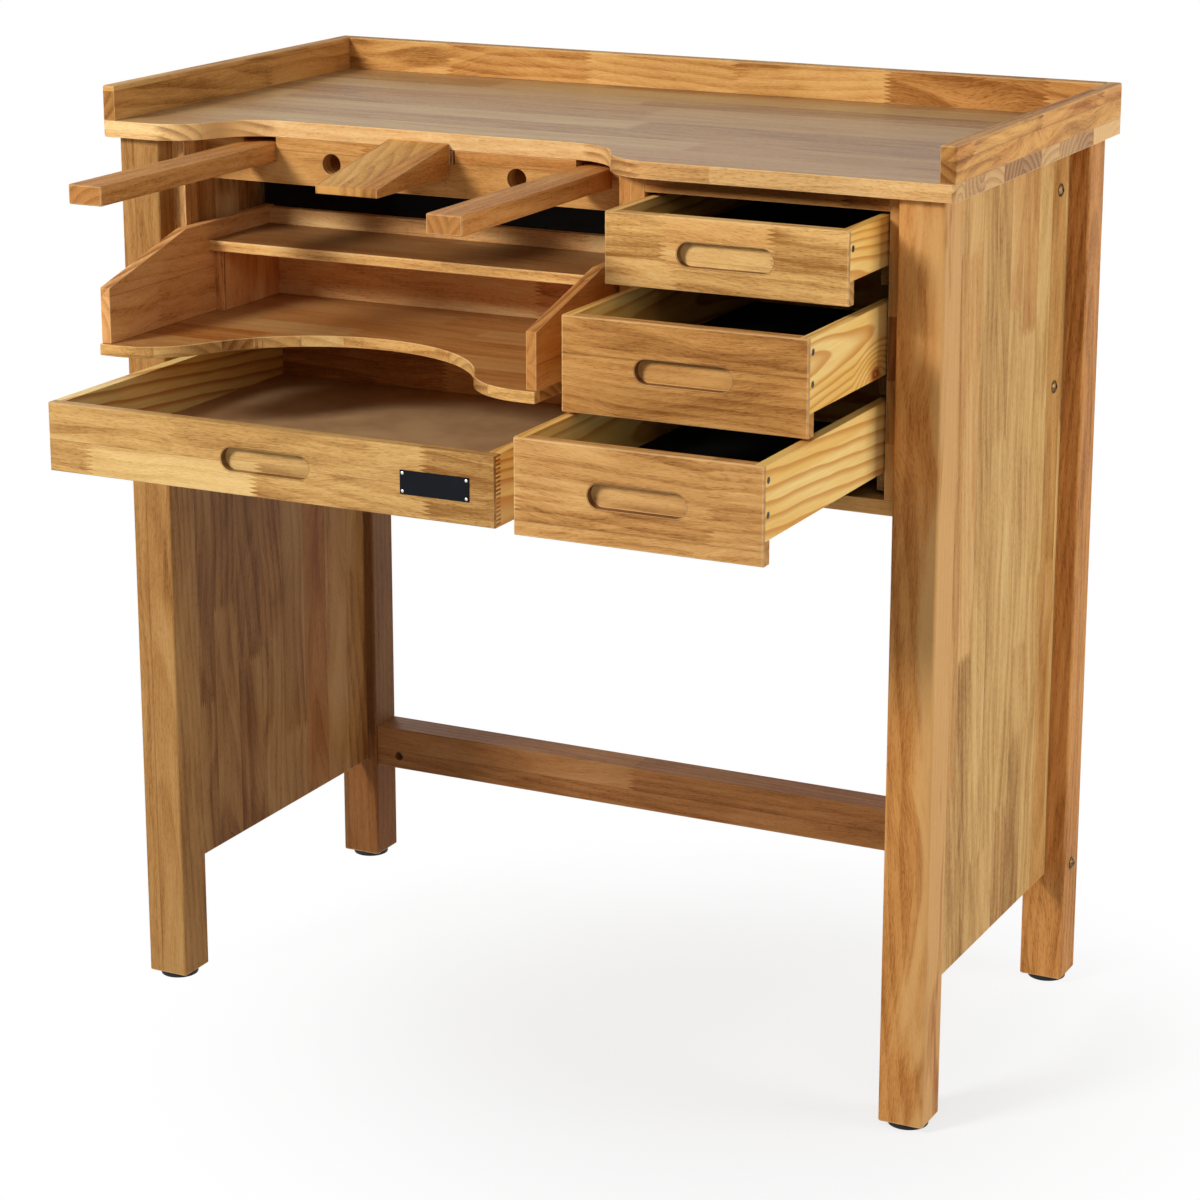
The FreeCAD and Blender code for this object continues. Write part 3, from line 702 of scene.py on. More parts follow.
brown_board = board_stock("brown_hardboard", shade(160, 124, 86), shade(192, 156, 112),
                          1500, 0.34, 0.04 * MM)
black_board = board_stock("black_board", shade(9, 8, 7), shade(20, 18, 16),
                          2200, 0.75, 0.10 * MM)
rubber = board_stock("black_rubber", shade(14, 14, 14), shade(30, 30, 30), 900, 0.55, 0.05 * MM)
plate_black = board_stock("charcoal_plate", shade(8, 9, 13), shade(17, 19, 26),
                          1800, 0.5, 0.02 * MM, 0.1)
bronze = worn_metal("bronzed_steel", shade(66, 50, 32), shade(134, 106, 70), 0.30)
dark_steel = worn_metal("dark_screw_steel", shade(48, 44, 40), shade(96, 88, 78), 0.34)
bright_steel = worn_metal("bright_rivet_steel", shade(190, 190, 188), shade(226, 226, 224), 0.22)
zinc = worn_metal("zinc_steel", shade(140, 142, 144), shade(182, 184, 186), 0.34)
print(len(bpy.data.materials), "materials for sheet goods and metal")

# %% [markdown]
# ## One wood for each board
# Boards differ in the way their grain runs, in the width of their staves and in tone.  Giving each
# its own seed keeps two neighbours from showing the same pattern.  The two bearers beside the open
# bay go black towards the back, like the back panel, a painted shade so that the bay looks dark
# behind the tray.  The cabinet's sides go black too, behind their front edges.  The worktop, the
# tray's floor and its shelf are darker on faces that look up, a painted shade, the tray's in a
# redder colour, and have a coat of oil.  A few boards take a darker tone as painted shade or a
# paler one as painted light.  Pieces inside the bench barely show, so they share two woods.

# %% Choose a hardwood for each board
LEG = 90                        # wider than a leg, so that each leg is one stave
LONG = 1600                     # longer than any board, so that it is one block
# where the bearers' painted shade begins, along Y
BEARER_SHADE_FROM = 50 * MM
boards = {
    # node: grain, across, seed, stave and block in millimetres, tones, and what sets it apart
    "worktop": ("x", "y", 3, 52, 420, CREAM,
                dict(spread=0.8, figure=0.8, gloss=0.42, top_shade_and_oil=0.43)),
    "rail_left": ("y", "z", 5, 80, 240, HONEY, dict(figure=1.4)),
    "rail_right": ("y", "z", 8, 80, 230, HONEY, dict(figure=1.9)),
    "rail_back": ("x", "z", 6, 80, 190, HONEY, dict(figure=1.9)),
    "leg_front_left": ("z", "x", 11, LEG, LONG, BISCUIT, dict(spread=0.4)),
    "leg_front_right": ("z", "x", 12, LEG, LONG, TAN,
                        dict(spread=0.4, figure=1.3, sapwood=0.75)),
    "leg_rear_left": ("z", "x", 14, LEG, LONG, SHADED_UMBER, dict(spread=0.4)),
    "leg_rear_right": ("z", "x", 15, LEG, LONG, AMBER, dict(spread=0.4)),
    "end_panel_left": ("z", "y", 16, 46, 460, SHADED_TAN, dict(spread=0.6, figure=1.5)),
    "end_panel_right": ("z", "y", 18, 40, 460, STRAW, dict(spread=0.8)),
    "rear_stretcher": ("x", "z", 19, LEG, 900, RUSSET, dict(spread=0.4)),
    "guide_board_left": ("z", "y", 20, 45, 500, CREAM, dict(black_from=BEARER_SHADE_FROM)),
    "guide_board_right": ("z", "y", 21, 45, 500, TAN, dict(black_from=BEARER_SHADE_FROM)),
    "apron": ("x", "z", 24, LEG, 600, TAN, dict(spread=0.4)),
    "tray_bottom": ("x", "y", 26, 55, 300, SUNNY,
                    dict(spread=0.8, top_shade_and_oil=0.58, oiled=TRAY_TOP_SHADE, arcs=0.15)),
    "tray_side_left": ("y", "z", 27, 60, 400, COPPER, dict(spread=0.6)),
    "tray_side_right": ("y", "z", 28, 60, 400, AMBER, dict(spread=0.6)),
    "tray_back": ("x", "z", 30, 60, 300, LIT_PEACH, dict(spread=0.8)),
    "tray_shelf": ("x", "y", 31, 60, 300, SUNNY,
                   dict(spread=0.7, top_shade_and_oil=0.72, oiled=SHELF_TOP_SHADE)),
    "tray_shelf_supports": ("z", "y", 32, 60, 400, COPPER, dict()),
    "arm_left": ("y", "x", 33, LEG, 900, AMBER, dict(spread=0.3)),
    "arm_right": ("y", "x", 35, LEG, 900, AMBER, dict(spread=0.3)),
    "bench_pin": ("y", "x", 36, 24, 900, HONEY, dict(spread=1.1, arcs=0.2)),
    "sweep_front": ("x", "z", 38, 40, 210, STRAW, dict()),
    "sweep_back": ("x", "z", 39, LEG, 400, COPPER, dict()),
    "drawer_1_front": ("x", "z", 41, 42, 120, SUNNY, dict()),
    "drawer_2_front": ("x", "z", 43, 110, 500, TAN, dict(spread=0.5, figure=1.4)),
    "drawer_3_front": ("x", "z", 44, 110, 260, GOLD, dict(spread=0.6, figure=1.4)),
}
finishes = {
    node: hardwood(node + "_wood", node, grain, across, seed, stave * MM, block * MM, colours,
                   **apart)
    for node, (grain, across, seed, stave, block, colours, apart) in boards.items()
}
print(len(finishes), "boards have a wood of their own")

# %% Share two woods inside the bench
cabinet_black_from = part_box("cabinet_side_left")[0][1] + 5 * MM
carcass_wood = hardwood("carcass_wood", "cabinet_side_left", "y", "z", 50, 60 * MM, 400 * MM,
                        TAN, black_from=cabinet_black_from)
cross_wood = hardwood("cross_rail_wood", "cabinet_base", "x", "z", 51, 60 * MM, 400 * MM, TAN)
for node in ("cabinet_side_left", "cabinet_side_right", "drawer_runners", "sweep_runners",
             "tray_runners"):
    finishes[node] = carcass_wood
for node in ("cabinet_base", "cabinet_top_rails", "arm_guide_rail", "panel_battens",
             "stretcher_dowels", "top_dowels"):
    finishes[node] = cross_wood
print(len(finishes), "nodes have a finish")

# %% [markdown]
# ### Pine for the drawers
# Each side was sawn from another part of its tree.  Where the heart lay decides whether a side
# shows an arch, a swirl or plain stripes, so it is chosen side by side.  Two sides come from trees
# that grew fast and have wider rings, and the middle drawer's right side has a knot near its back.

# %% Choose a pine for each side and back
hearts = {
    # node: how far the heart lay behind and below, and how much it leaned along the side
    "drawer_1_side_left": ((-0.05, 0.02), (0.03, 0.02)),
    "drawer_1_side_right": ((0.03, 0.03), (0.02, 0.02)),
    "drawer_2_side_left": ((-0.04, 0.00), (0.04, 0.02)),
    "drawer_2_side_right": ((0.0268, -0.02), (0.03, -0.06)),
    "drawer_3_side_left": ((-0.05, 0.01), (0.04, 0.03)),
    "drawer_3_side_right": ((0.02, 0.065), (0.02, 0.06)),
    "sweep_side_left": ((-0.03, 0.06), (0.03, 0.10)),
    "sweep_side_right": ((0.05, 0.03), (0.03, 0.05)),
}
WIDE_RINGS = 12.0 * MM
apart = {
    # paler tones here are painted light on a side that lies in shade
    "sweep_side_left": dict(contrast=0.8, ring_width=WIDE_RINGS, pale=shade(255, 228, 150),
                            warm=shade(255, 214, 126)),
    "drawer_3_side_right": dict(ring_width=WIDE_RINGS),
    "drawer_2_side_right": dict(knot=(-109.8 * MM, 746.9 * MM)),
}
for seed, (node, (heart, lean)) in enumerate(hearts.items()):
    finishes[node] = pine(node + "_pine", node, seed, heart, lean, **apart.get(node, {}))
for number in (1, 2, 3):
    node = f"drawer_{number}_back"
    finishes[node] = pine(node + "_pine", node, 20 + number, crosswise=True)
    finishes[f"drawer_{number}_bottom"] = black_board
print(len(finishes), "nodes have a finish")

# %% Give every node its finish
finishes["sweep_bottom"] = brown_board
finishes["back_panel"] = black_board
finishes["panel_bolts"] = finishes["stretcher_bolts"] = bronze
finishes["insert_nuts"] = finishes["barrel_nuts"] = zinc
finishes["feet"] = rubber
for node, finish in finishes.items():
    for slot in nodes[node].material_slots:
        slot.material = finish
print(len(finishes), "nodes have a finish, missing:", sorted(set(nodes) - set(finishes)))

# %% [markdown]
# ## Soft edges
# A sanded board has edges a millimetre round that catch the light.  They could be modelled in the
# solids, but that would make those heavy, and a Bevel does it in one step.  The solids have sharp
# edges or a small flat chamfer and are made of loose triangles, so each board that shows is
# copied, its triangles are merged into faces, and what turns by more than about thirty degrees is
# rounded.  Weighted normals keep the flat faces flat.  The new faces are marked, so that the wood
# paints them paler as a painted highlight.  The finished mesh is plain and takes its node's place.

# %% Copy a node as plain faces
MERGE_DISTANCE = 0.004 * MM


def merged(node):
    """A node's loose triangles, joined where they meet, for bmesh to work on."""
    work = bmesh.new()
    work.from_mesh(nodes[node].data)
    bmesh.ops.remove_doubles(work, verts=work.verts, dist=MERGE_DISTANCE)
    return work


def mesh_from(work, name):
    """Turn a bmesh into a mesh and let it go."""
    mesh = bpy.data.meshes.new(name)
    work.to_mesh(mesh)
    work.free()
    return mesh


def plain_mesh(piece):
    """Turn a piece with modifiers into a plain mesh object of the same name."""
    graph = bpy.context.evaluated_depsgraph_get()
    graph.update()
    mesh = bpy.data.meshes.new_from_object(piece.evaluated_get(graph))
    piece.modifiers.clear()
    piece.data = mesh
    return piece


work = merged("worktop")
print("worktop:", len(nodes["worktop"].data.vertices), "loose corners become", len(work.verts))
work.free()


# %% Say what a piece belongs to
def belong(piece, body):
    """Let a piece ride on a body."""
    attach(piece, body)


def take_place(piece, node):
    """Let a piece stand for a node, on the same body."""
    belong(piece, body_of[node])
    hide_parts(node)


print(len(set(body_of.values())), "bodies:", ", ".join(sorted(set(body_of.values()))))


# %% Round the edges of a board
EDGE_TURN = math.radians(32)
FLAT_TURN = math.radians(0.4)


def soften(node, width):
    """Replace a node by a copy with rounded edges."""
    work = merged(node)
    bmesh.ops.dissolve_limit(work, angle_limit=FLAT_TURN, verts=work.verts, edges=work.edges,
                             delimit=set())
    piece = add_object(node + "_softened", mesh_from(work, node + "_softened"))
    for polygon in piece.data.polygons:
        polygon.use_smooth = True
    piece.data.materials.clear()
    for _ in ("faces", "edges"):
        piece.data.materials.append(finishes[node])
    bevel = piece.modifiers.new("rounded", "BEVEL")
    bevel.width = width
    bevel.segments = 2
    bevel.limit_method = "ANGLE"
    bevel.angle_limit = EDGE_TURN
    bevel.use_clamp_overlap = True
    bevel.material = 1
    piece.modifiers.new("weighted", "WEIGHTED_NORMAL").keep_sharp = True
    plain_mesh(piece)
    # the second material only marks the bevel's faces, so it turns into an attribute
    # the marked faces are painted paler by the wood, a painted highlight
    highlit = piece.data.attributes.new("worn_edge", "FLOAT", "FACE")
    for item, polygon in zip(highlit.data, piece.data.polygons):
        item.value = float(polygon.material_index == 1)
        polygon.material_index = 0
    piece.data.materials.pop(index=1)
    take_place(piece, node)


drawer_boards = tuple(
    f"drawer_{number}_{board}"
    for number in (1, 2, 3) for board in ("side_left", "side_right", "back"))
softened = {
    0.9 * MM: ("worktop", "apron", "tray_bottom", "tray_side_left", "tray_side_right",
               "tray_back", "tray_shelf", "tray_shelf_supports", "bench_pin", "guide_board_left",
               "guide_board_right", "cabinet_side_left", "cabinet_side_right", "cabinet_base",
               "cabinet_top_rails", "end_panel_left", "end_panel_right", "arm_left", "arm_right"),
    0.7 * MM: ("rail_left", "rail_right", "rail_back", "rear_stretcher", "leg_front_left",
               "leg_front_right", "leg_rear_left", "leg_rear_right", "feet", "drawer_1_front",
               "drawer_2_front", "drawer_3_front", "sweep_back", "drawer_runners", "tray_runners",
               "sweep_runners") + drawer_boards,
    0.15 * MM: ("sweep_front",),
}
for width, members in softened.items():
    for node in members:
        soften(node, width)
    print("rounded by", round(width / MM, 2), "mm:", len(members), "of the nodes")

# %% [markdown]
# ## Geometry Nodes, written as code
# What repeats is made by Geometry Nodes, because one head or tooth is then described once, and its
# sizes are inputs that can be changed.  `Recipe` is to a geometry tree what `Finish` is to a
# material.  It ends by making instances real and giving them their finish.

# %% A geometry tree
class Recipe(Tree):
    """A Geometry Nodes tree with named inputs for its sizes."""

    def __init__(self, name, sizes):
        super().__init__(bpy.data.node_groups.new(name, "GeometryNodeTree"))
        face = self.node_tree.interface
        face.new_socket("Geometry", in_out="INPUT", socket_type="NodeSocketGeometry")
        for label, value in sizes.items():
            kind = "NodeSocketInt" if isinstance(value, int) else "NodeSocketFloat"
            face.new_socket(label, in_out="INPUT", socket_type=kind).default_value = value
        face.new_socket("Geometry", in_out="OUTPUT", socket_type="NodeSocketGeometry")
        self.given = self.node("NodeGroupInput", output=None)

    def size(self, label):
        """One of the tree's inputs."""
        return Wire(self, self.given.outputs[label])

    def end(self, geometry, finish):
        """Make instances real, give them a finish and hand them out."""
        real = self.node("GeometryNodeRealizeInstances", inputs={0: geometry})
        made = self.node("GeometryNodeSetMaterial", inputs={0: real, "Material": finish})
        self.node("NodeGroupOutput", inputs={0: made}, output=None)

    def apply(self, piece, **sizes):
        """Run the tree on a piece and turn the result into a plain mesh."""
        modifier = piece.modifiers.new(self.node_tree.name, "NODES")
        modifier.node_group = self.node_tree
        for item in self.node_tree.interface.items_tree:
            label = item.name.lower().replace(" ", "_")
            if item.in_out == "INPUT" and label in sizes:
                modifier[item.identifier] = sizes[label]
        return plain_mesh(piece)


print("geometry helpers ready")

# %% [markdown]
# ## Bolts, screws and rivets
# The bench is held by domed bolts with a six-sided socket, the drawers by small screws, and the
# plate by rivets.  All are heads turned on a lathe, so one tree does them all.  It bends a grid
# into a disc of rings, lifts those to the dome's height, cuts the socket if there is one, and sets
# a copy on each point of a mesh, turned to the way the point's `outward` attribute says and spun
# by a seeded random angle.

# %% The dome of a head
HEAD_HEIGHT = 3.4 * MM
RINGS = 7                       # the rim's foot, the rim's top and five on the dome
TURNS = 28
WELD = 0.02 * MM
CUTTER_TURN = 0.13              # keeps its corners off the dome's edges, so that the cut closes
SPIN = 6.28                     # radians; heads are turned by anything up to this


def turned_dome(recipe, radius, crown, rim):
    """A closed dome on a low rim, from a grid whose X becomes the angle and Y the ring."""
    grid = recipe.node("GeometryNodeMeshGrid", inputs={
        "Size X": 1.0, "Size Y": 1.0, "Vertices X": TURNS + 1, "Vertices Y": RINGS})
    place = recipe.parts(recipe.node("GeometryNodeInputPosition"))
    angle = (place["x"] + 0.5) * (2 * math.pi)
    share = place["y"] + 0.5
    on_dome = ((share * (RINGS - 1) - 1) / (RINGS - 2)).math("MAXIMUM", 0.0)
    out = (radius * (1 - on_dome)).math("MAXIMUM", 0.0)
    rise = rim + (crown - rim) * (1 - (1 - on_dome) * (1 - on_dome))
    is_foot = share.math("LESS_THAN", 0.5 / (RINGS - 1))
    lifted = recipe.node("GeometryNodeSetPosition", inputs={
        0: grid, "Position": recipe.vector(out * angle.math("COSINE"), out * angle.math("SINE"),
                                           rise * (1 - is_foot))})
    shell = recipe.node("GeometryNodeMergeByDistance", inputs={0: lifted, "Distance": WELD})
    base = recipe.node("GeometryNodeMeshCircle", {"fill_type": "NGON"}, {
        "Vertices": TURNS, "Radius": radius})
    base = recipe.node("GeometryNodeFlipFaces", inputs={0: base})
    both = recipe.node("GeometryNodeJoinGeometry", inputs={0: [shell, base]})
    return recipe.node("GeometryNodeMergeByDistance", inputs={0: both, "Distance": WELD})


print("each head has", TURNS, "sides and", RINGS, "rings")


# %% The tree for turned heads
def head_recipe(name, finish):
    """A tree that sets a head on each point of a mesh."""
    recipe = Recipe(name, {
        "Radius": 6.75 * MM, "Crown": HEAD_HEIGHT, "Rim": 0.9 * MM,
        "Socket": 2.3 * MM, "Socket Depth": 1.8 * MM, "Socket Sides": 6, "Seed": 7,
    })
    crown, socket_depth = recipe.size("Crown"), recipe.size("Socket Depth")
    dome = turned_dome(recipe, recipe.size("Radius"), crown, recipe.size("Rim"))
    cutter = recipe.node("GeometryNodeMeshCylinder", inputs={
        "Vertices": recipe.size("Socket Sides"), "Radius": recipe.size("Socket"),
        "Depth": socket_depth * 2})
    cutter = recipe.node("GeometryNodeTransform", inputs={
        0: cutter, "Translation": recipe.vector(0.0, 0.0, crown),
        "Rotation": (0.0, 0.0, CUTTER_TURN)})
    cut = recipe.node("GeometryNodeMeshBoolean", {"operation": "DIFFERENCE"}, {
        "Mesh 1": dome, "Mesh 2": cutter})
    has_socket = socket_depth.math("GREATER_THAN", 0.01 * MM)
    head = recipe.node("GeometryNodeSwitch", {"input_type": "GEOMETRY"}, {
        "Switch": has_socket, "False": dome, "True": cut})
    outward = recipe.node("GeometryNodeInputNamedAttribute", {"data_type": "FLOAT_VECTOR"}, {
        "Name": "outward"})
    aim = recipe.node("FunctionNodeAlignRotationToVector", {"axis": "Z"}, {"Vector": outward})
    spin = recipe.node("FunctionNodeRandomValue", {"data_type": "FLOAT"}, {
        "Min": 0.0, "Max": SPIN, "Seed": recipe.size("Seed")}, output=1)
    spin = recipe.node("FunctionNodeEulerToRotation", inputs={0: recipe.vector(0.0, 0.0, spin)})
    turned = recipe.node("FunctionNodeRotateRotation", {"rotation_space": "LOCAL"}, {
        "Rotation": aim, "Rotate By": spin})
    placed = recipe.node("GeometryNodeInstanceOnPoints", inputs={
        "Points": recipe.size("Geometry"), "Instance": head, "Rotation": turned})
    recipe.end(placed, finish)
    return recipe


def points_piece(name, spots):
    """A mesh of loose points, each with the way that its head faces."""
    mesh = bpy.data.meshes.new(name)
    mesh.from_pydata([place for place, way in spots], [], [])
    outward = mesh.attributes.new("outward", "FLOAT_VECTOR", "POINT")
    for item, (place, way) in zip(outward.data, spots):
        item.vector = way
    return add_object(name, mesh)


bolt_heads = head_recipe("bolt_heads", bronze)
screw_heads = head_recipe("screw_heads", dark_steel)
rivet_heads = head_recipe("rivet_heads", bright_steel)
print(len(bpy.data.node_groups), "trees for heads")

# %% [markdown]
# ## Where the bolts go
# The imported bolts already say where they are: each solid of a bolts' node is one bolt along X.
# The loose parts of the merged node are found by walking from vertex to vertex, and the end
# nearer the outside of the bench is the head.  Measuring them is safer than writing the places
# down again, because they then follow any change of the solids.

# %% Find the bolts
def loose_boxes(node):
    """The box of each separate solid in a node."""
    work = merged(node)
    left = set(work.verts)
    boxes = []
    while left:
        group = [left.pop()]
        for vertex in group:
            for edge in vertex.link_edges:
                other = edge.other_vert(vertex)
                if other in left:
                    left.remove(other)
                    group.append(other)
        places = [vertex.co for vertex in group]
        boxes.append((
            Vector([min(place[axis] for place in places) for axis in range(3)]),
            Vector([max(place[axis] for place in places) for axis in range(3)]),
        ))
    work.free()
    return sorted(boxes, key=lambda box: tuple(round(value, 4) for value in box[0]))


def bolt_line(low, high):
    """Which way a bolt's head faces along X, where the head is seated and where the bolt ends."""
    if low.x > 0:
        return 1, high.x - HEAD_HEIGHT, low.x
    return -1, low.x + HEAD_HEIGHT, high.x


print(len(loose_boxes("panel_bolts")), "panel bolts")


# %% Set the bolts
SHANK_RADIUS = 3.0 * MM
SHANK_SIDES = 16


def shanks(name, boxes):
    """Plain round rods for the bolts' shanks."""
    work = bmesh.new()
    for low, high in boxes:
        way, seat, end = bolt_line(low, high)
        middle = Vector(((seat + end) / 2, (low.y + high.y) / 2, (low.z + high.z) / 2))
        turn_to_x = Matrix.Translation(middle) @ Matrix.Rotation(math.pi / 2, 4, "Y")
        bmesh.ops.create_cone(work, cap_ends=True, segments=SHANK_SIDES,
                              radius1=SHANK_RADIUS, radius2=SHANK_RADIUS,
                              depth=abs(seat - end), matrix=turn_to_x)
    mesh = mesh_from(work, name)
    mesh.materials.append(bronze)
    return add_object(name, mesh)


for node in ("panel_bolts", "stretcher_bolts"):
    boxes = loose_boxes(node)
    spots = []
    for low, high in boxes:
        way, seat, end = bolt_line(low, high)
        spots.append(((seat, (low.y + high.y) / 2, (low.z + high.z) / 2), (way, 0, 0)))
    heads = bolt_heads.apply(points_piece(node + "_heads", spots))
    take_place(heads, node)
    take_place(shanks(node + "_shanks", boxes), node)
    print(node, len(spots), "heads,", len(heads.data.polygons), "faces")

# %% [markdown]
# ## The drawers' screws
# Each drawer's front is held by small countersunk screws through the sides, two in the tall ones
# and one in the shallow one.  They sit a little behind the front, on the outer face of each side.
# They are too small for the solids, so they are set here by their drop below the front's top.

# %% Set the screws
SCREW_SET_BACK = 8.5 * MM       # behind the drawer's front face
SCREW_SIZES = dict(radius=3.2 * MM, crown=0.5 * MM, rim=0.15 * MM, socket=1.2 * MM,
                   socket_depth=0.4 * MM, socket_sides=4, seed=3)
SCREW_DROPS = {1: (17,), 2: (13, 42), 3: (14, 45)}    # drawer: millimetres below its top
for number, drops in SCREW_DROPS.items():
    front_low, front_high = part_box(f"drawer_{number}_front")
    spots = [
        ((x, front_low[1] + SCREW_SET_BACK, front_high[2] - drop * MM), (way, 0, 0))
        for way, x in ((-1, front_low[0]), (1, front_high[0]))
        for drop in drops
    ]
    screws = screw_heads.apply(points_piece(f"drawer_{number}_screws", spots), **SCREW_SIZES)
    belong(screws, f"drawer_{number}")
    print("drawer", number, len(spots), "screws")

# %% [markdown]
# ## The bare plate
# A small charcoal plate is riveted to the sweep drawer's front, to the right of the grip.  It is
# left plain.  It is a thin board with its edges rounded, and four bright rivets at its corners.

# %% Make the plate
PLATE_LEFT, PLATE_RIGHT = 6.8 * MM, 78.8 * MM
PLATE_BOTTOM, PLATE_TOP = 642.4 * MM, 665.2 * MM
PLATE_THICKNESS = 1.0 * MM
front_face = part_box("sweep_front")[0][1]
work = bmesh.new()
bmesh.ops.create_cube(work, size=1.0)
for vertex in work.verts:
    vertex.co = (
        PLATE_LEFT if vertex.co.x < 0 else PLATE_RIGHT,
        front_face - (PLATE_THICKNESS if vertex.co.y < 0 else 0.0),
        PLATE_BOTTOM if vertex.co.z < 0 else PLATE_TOP,
    )
plate = add_object("bare_plate", mesh_from(work, "bare_plate"))
bevel = plate.modifiers.new("rounded", "BEVEL")
bevel.width = 0.35 * MM
bevel.segments = 3
plain_mesh(plate)
plate.data.materials.append(plate_black)
belong(plate, "sweep_drawer")
print("plate", round((PLATE_RIGHT - PLATE_LEFT) / MM, 1), "mm wide")

# %% Rivet the plate
RIVET_INSET = 2.8 * MM
RIVET_SIZES = dict(radius=1.5 * MM, crown=0.8 * MM, rim=0.2 * MM, socket_depth=0.0)
rivet_spots = [
    ((x, front_face - PLATE_THICKNESS, z), (0, -1, 0))
    for x in (PLATE_LEFT + RIVET_INSET, PLATE_RIGHT - RIVET_INSET)
    for z in (PLATE_BOTTOM + RIVET_INSET, PLATE_TOP - RIVET_INSET)
]
rivets = rivet_heads.apply(points_piece("plate_rivets", rivet_spots), **RIVET_SIZES)
belong(rivets, "sweep_drawer")
print(len(rivet_spots), "rivets")

# %% [markdown]
# ## The sweep drawer's comb-jointed sides
# The corner joints are rows of square teeth, one every four millimetres.  That is a rule, so a
# tree makes it: a board, and a row of blocks instanced up its front end, half a pitch high and as
# long as the joint.  The front already has the slots that they fill.

# %% Comb-jointed sides
TEETH = 17
TOOTH_LENGTH = 9.0 * MM


def comb_recipe(finish):
    """A tree for a board from the origin along Y, with teeth before its front end."""
    recipe = Recipe("comb_side", {
        "Length": 400 * MM, "Height": 67.5 * MM, "Thickness": 12 * MM,
        "Tooth Length": TOOTH_LENGTH, "Teeth": TEETH,
    })
    length, height = recipe.size("Length"), recipe.size("Height")
    thickness, tooth = recipe.size("Thickness"), recipe.size("Tooth Length")
    pitch = height / recipe.size("Teeth")
    board = recipe.node("GeometryNodeMeshCube", inputs={
        "Size": recipe.vector(thickness, length, height)})
    board = recipe.node("GeometryNodeTransform", inputs={
        0: board, "Translation": recipe.vector(0.0, length * 0.5, 0.0)})
    block = recipe.node("GeometryNodeMeshCube", inputs={
        "Size": recipe.vector(thickness, tooth, pitch * 0.5)})
    row = recipe.node("GeometryNodeMeshLine", inputs={
        "Count": recipe.size("Teeth"),
        "Start Location": recipe.vector(0.0, tooth * -0.5, height * -0.5 + pitch * 0.25),
        "Offset": recipe.vector(0.0, 0.0, pitch)})
    teeth = recipe.node("GeometryNodeInstanceOnPoints", inputs={"Points": row, "Instance": block})
    both = recipe.node("GeometryNodeJoinGeometry", inputs={0: [board, teeth]})
    recipe.end(both, finish)
    return recipe


for node in ("sweep_side_left", "sweep_side_right"):
    low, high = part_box(node)
    side = add_object(node + "_combed", bpy.data.meshes.new(node + "_combed"))
    comb_recipe(finishes[node]).apply(
        side, length=high[1] - low[1] - TOOTH_LENGTH, height=high[2] - low[2],
        thickness=high[0] - low[0], tooth_length=TOOTH_LENGTH, teeth=TEETH)
    start = Vector(((low[0] + high[0]) / 2, low[1] + TOOTH_LENGTH, (low[2] + high[2]) / 2))
    side.data.transform(Matrix.Translation(start))
    take_place(side, node)
    print(node, len(side.data.polygons), "faces")

# %% [markdown]
# ## The studio
# The floor is pale and glows softly to the camera, more so away from the bench, so that it runs
# to white at its far edge and still shows the bench's shadow.  Behind it the camera sees a white
# world.  Both are white only to the camera and in reflections, so they add no light of their own.

# %% The floor
HALF_FLOOR = 7.0
SHADOW_MIDDLE = 0.18            # the shadow lies mostly to the right of the bench's middle
SHADOW_INNER, SHADOW_OUTER = 0.10, 0.64
LEAST_GLOW = 0.66               # of white, in the middle of the shadow
FLOOR_COLOUR = (0.84, 0.86, 0.88, 1.0)
floor_mesh = bpy.data.meshes.new("studio_floor")
corners = [(-HALF_FLOOR, -HALF_FLOOR, 0), (HALF_FLOOR, -HALF_FLOOR, 0),
           (HALF_FLOOR, HALF_FLOOR, 0), (-HALF_FLOOR, HALF_FLOOR, 0)]
floor_mesh.from_pydata(corners, [], [(0, 1, 2, 3)])
floor = add_object("studio_floor", floor_mesh)
pale = Finish("studio_floor")
spot = pale.place()
east = spot["x"] - SHADOW_MIDDLE
away = (east * east + spot["y"] * spot["y"]).root().ramp(SHADOW_INNER, SHADOW_OUTER)
matt = pale.node("ShaderNodeBsdfDiffuse", inputs={"Color": FLOOR_COLOUR})
glow = pale.node("ShaderNodeEmission", inputs={"Color": (1, 1, 1, 1), "Strength": 1.0})
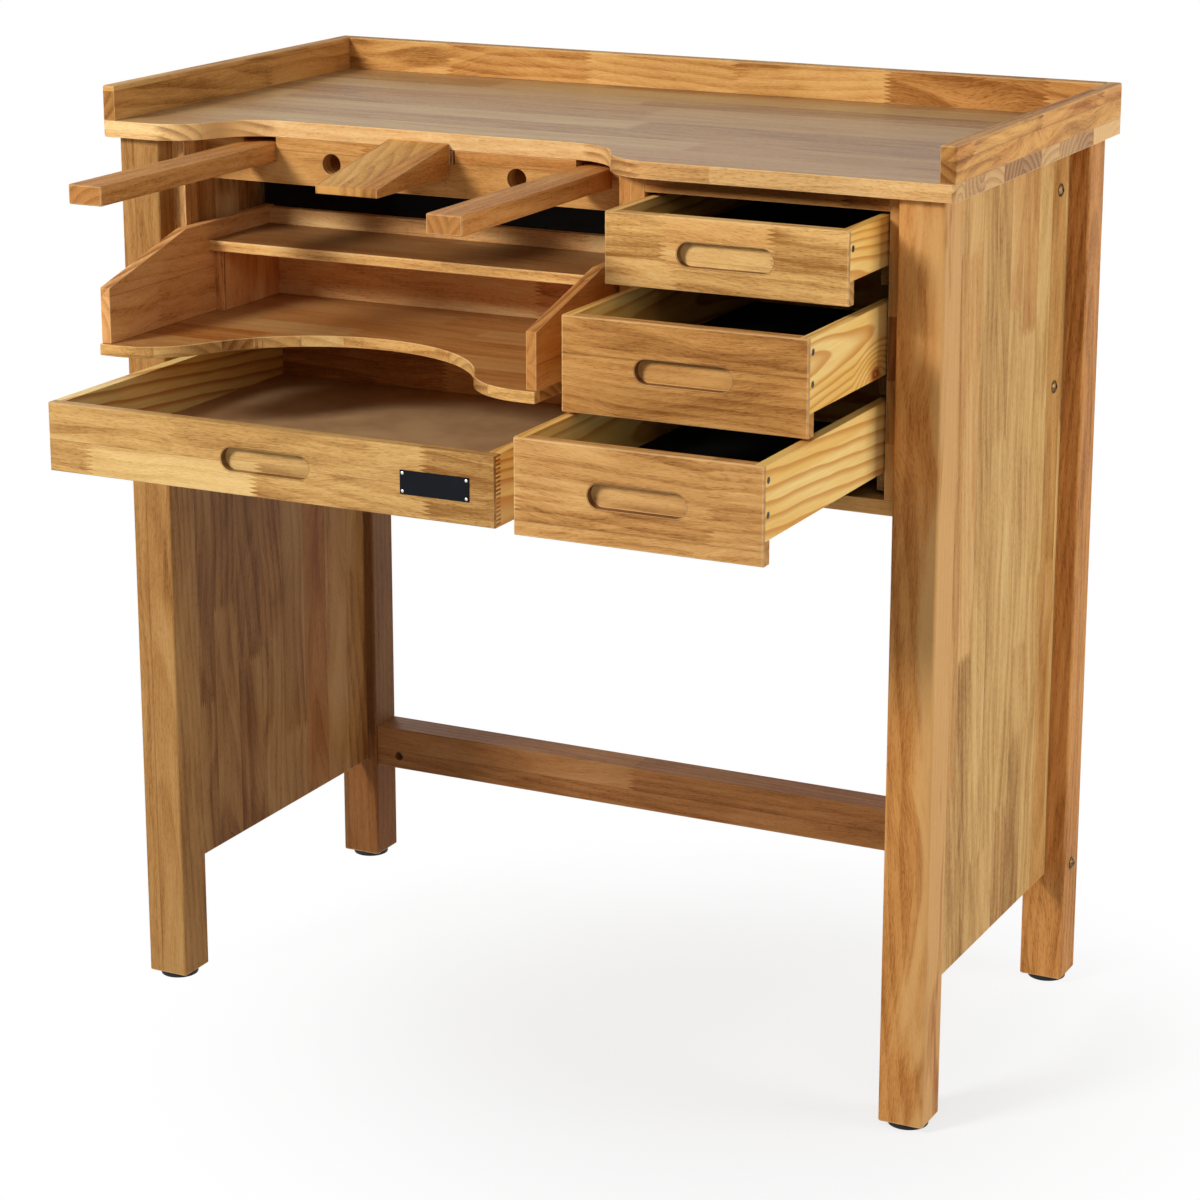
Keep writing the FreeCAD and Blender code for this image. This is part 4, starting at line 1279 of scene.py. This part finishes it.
glowing = pale.looked_at() * (away * (1 - LEAST_GLOW) + LEAST_GLOW)
surface = pale.node("ShaderNodeMixShader", inputs={0: glowing, 1: matt, 2: glow})
pale.node("ShaderNodeOutputMaterial", inputs={0: surface}, output=None)
floor_mesh.materials.append(pale.material)
print("floor", 2 * HALF_FLOOR, "m wide")

# %% The world
AMBIENT = 0.12                  # soft light from all round
world = bpy.data.worlds.new("white_studio")
bpy.context.scene.world = world
world.use_nodes = True
sky = Tree(world.node_tree)
dim, white = (sky.node("ShaderNodeBackground", inputs={"Color": (1, 1, 1, 1), "Strength": level})
              for level in (AMBIENT, 1.0))
choice = sky.node("ShaderNodeMixShader", inputs={0: sky.looked_at(), 1: dim, 2: white})
sky.node("ShaderNodeOutputWorld", inputs={0: choice}, output=None)
print("world ready")

# %% [markdown]
# ### Lamps
# One broad lamp stands at the bench's right and a stronger, smaller one in front, to its left and
# high up, so that the grips' hollows show.  A weak one fills in from the front right, and two low
# ones light the back.

# %% Set up the lamps
LAMPS = {
    # name: place, target, width in metres, power in watts
    "side_lamp": ((3.2, 0.35, 1.05), (0.0, 0.0, 0.55), 1.6, 48),
    "front_lamp": ((-1.7, -3.1, 2.6), (0.0, 0.0, 0.6), 0.9, 134),
    "right_lamp": ((2.2, -2.9, 2.7), (0.0, 0.0, 0.6), 1.4, 18),
    "rear_left_lamp": ((-2.6, 2.6, 0.40), (0.0, 0.0, 0.50), 1.0, 56),
    "rear_right_lamp": ((0.1, 3.6, 0.40), (0.0, 0.0, 0.50), 1.0, 34),
}
for name, (place, target, width, power) in LAMPS.items():
    data = bpy.data.lights.new(name, "AREA")
    data.size = width
    data.energy = power
    lamp = add_object(name, data)
    lamp.location = place
    lamp.rotation_mode = "QUATERNION"
    lamp.rotation_quaternion = (Vector(target) - Vector(place)).to_track_quat("-Z", "Y")
print(len(LAMPS), "lamps")

# %% [markdown]
# ## Colour management and the last line
# The plain Standard view shows a colour as it is written.

# %% Finish
bpy.context.scene.view_settings.view_transform = "Standard"
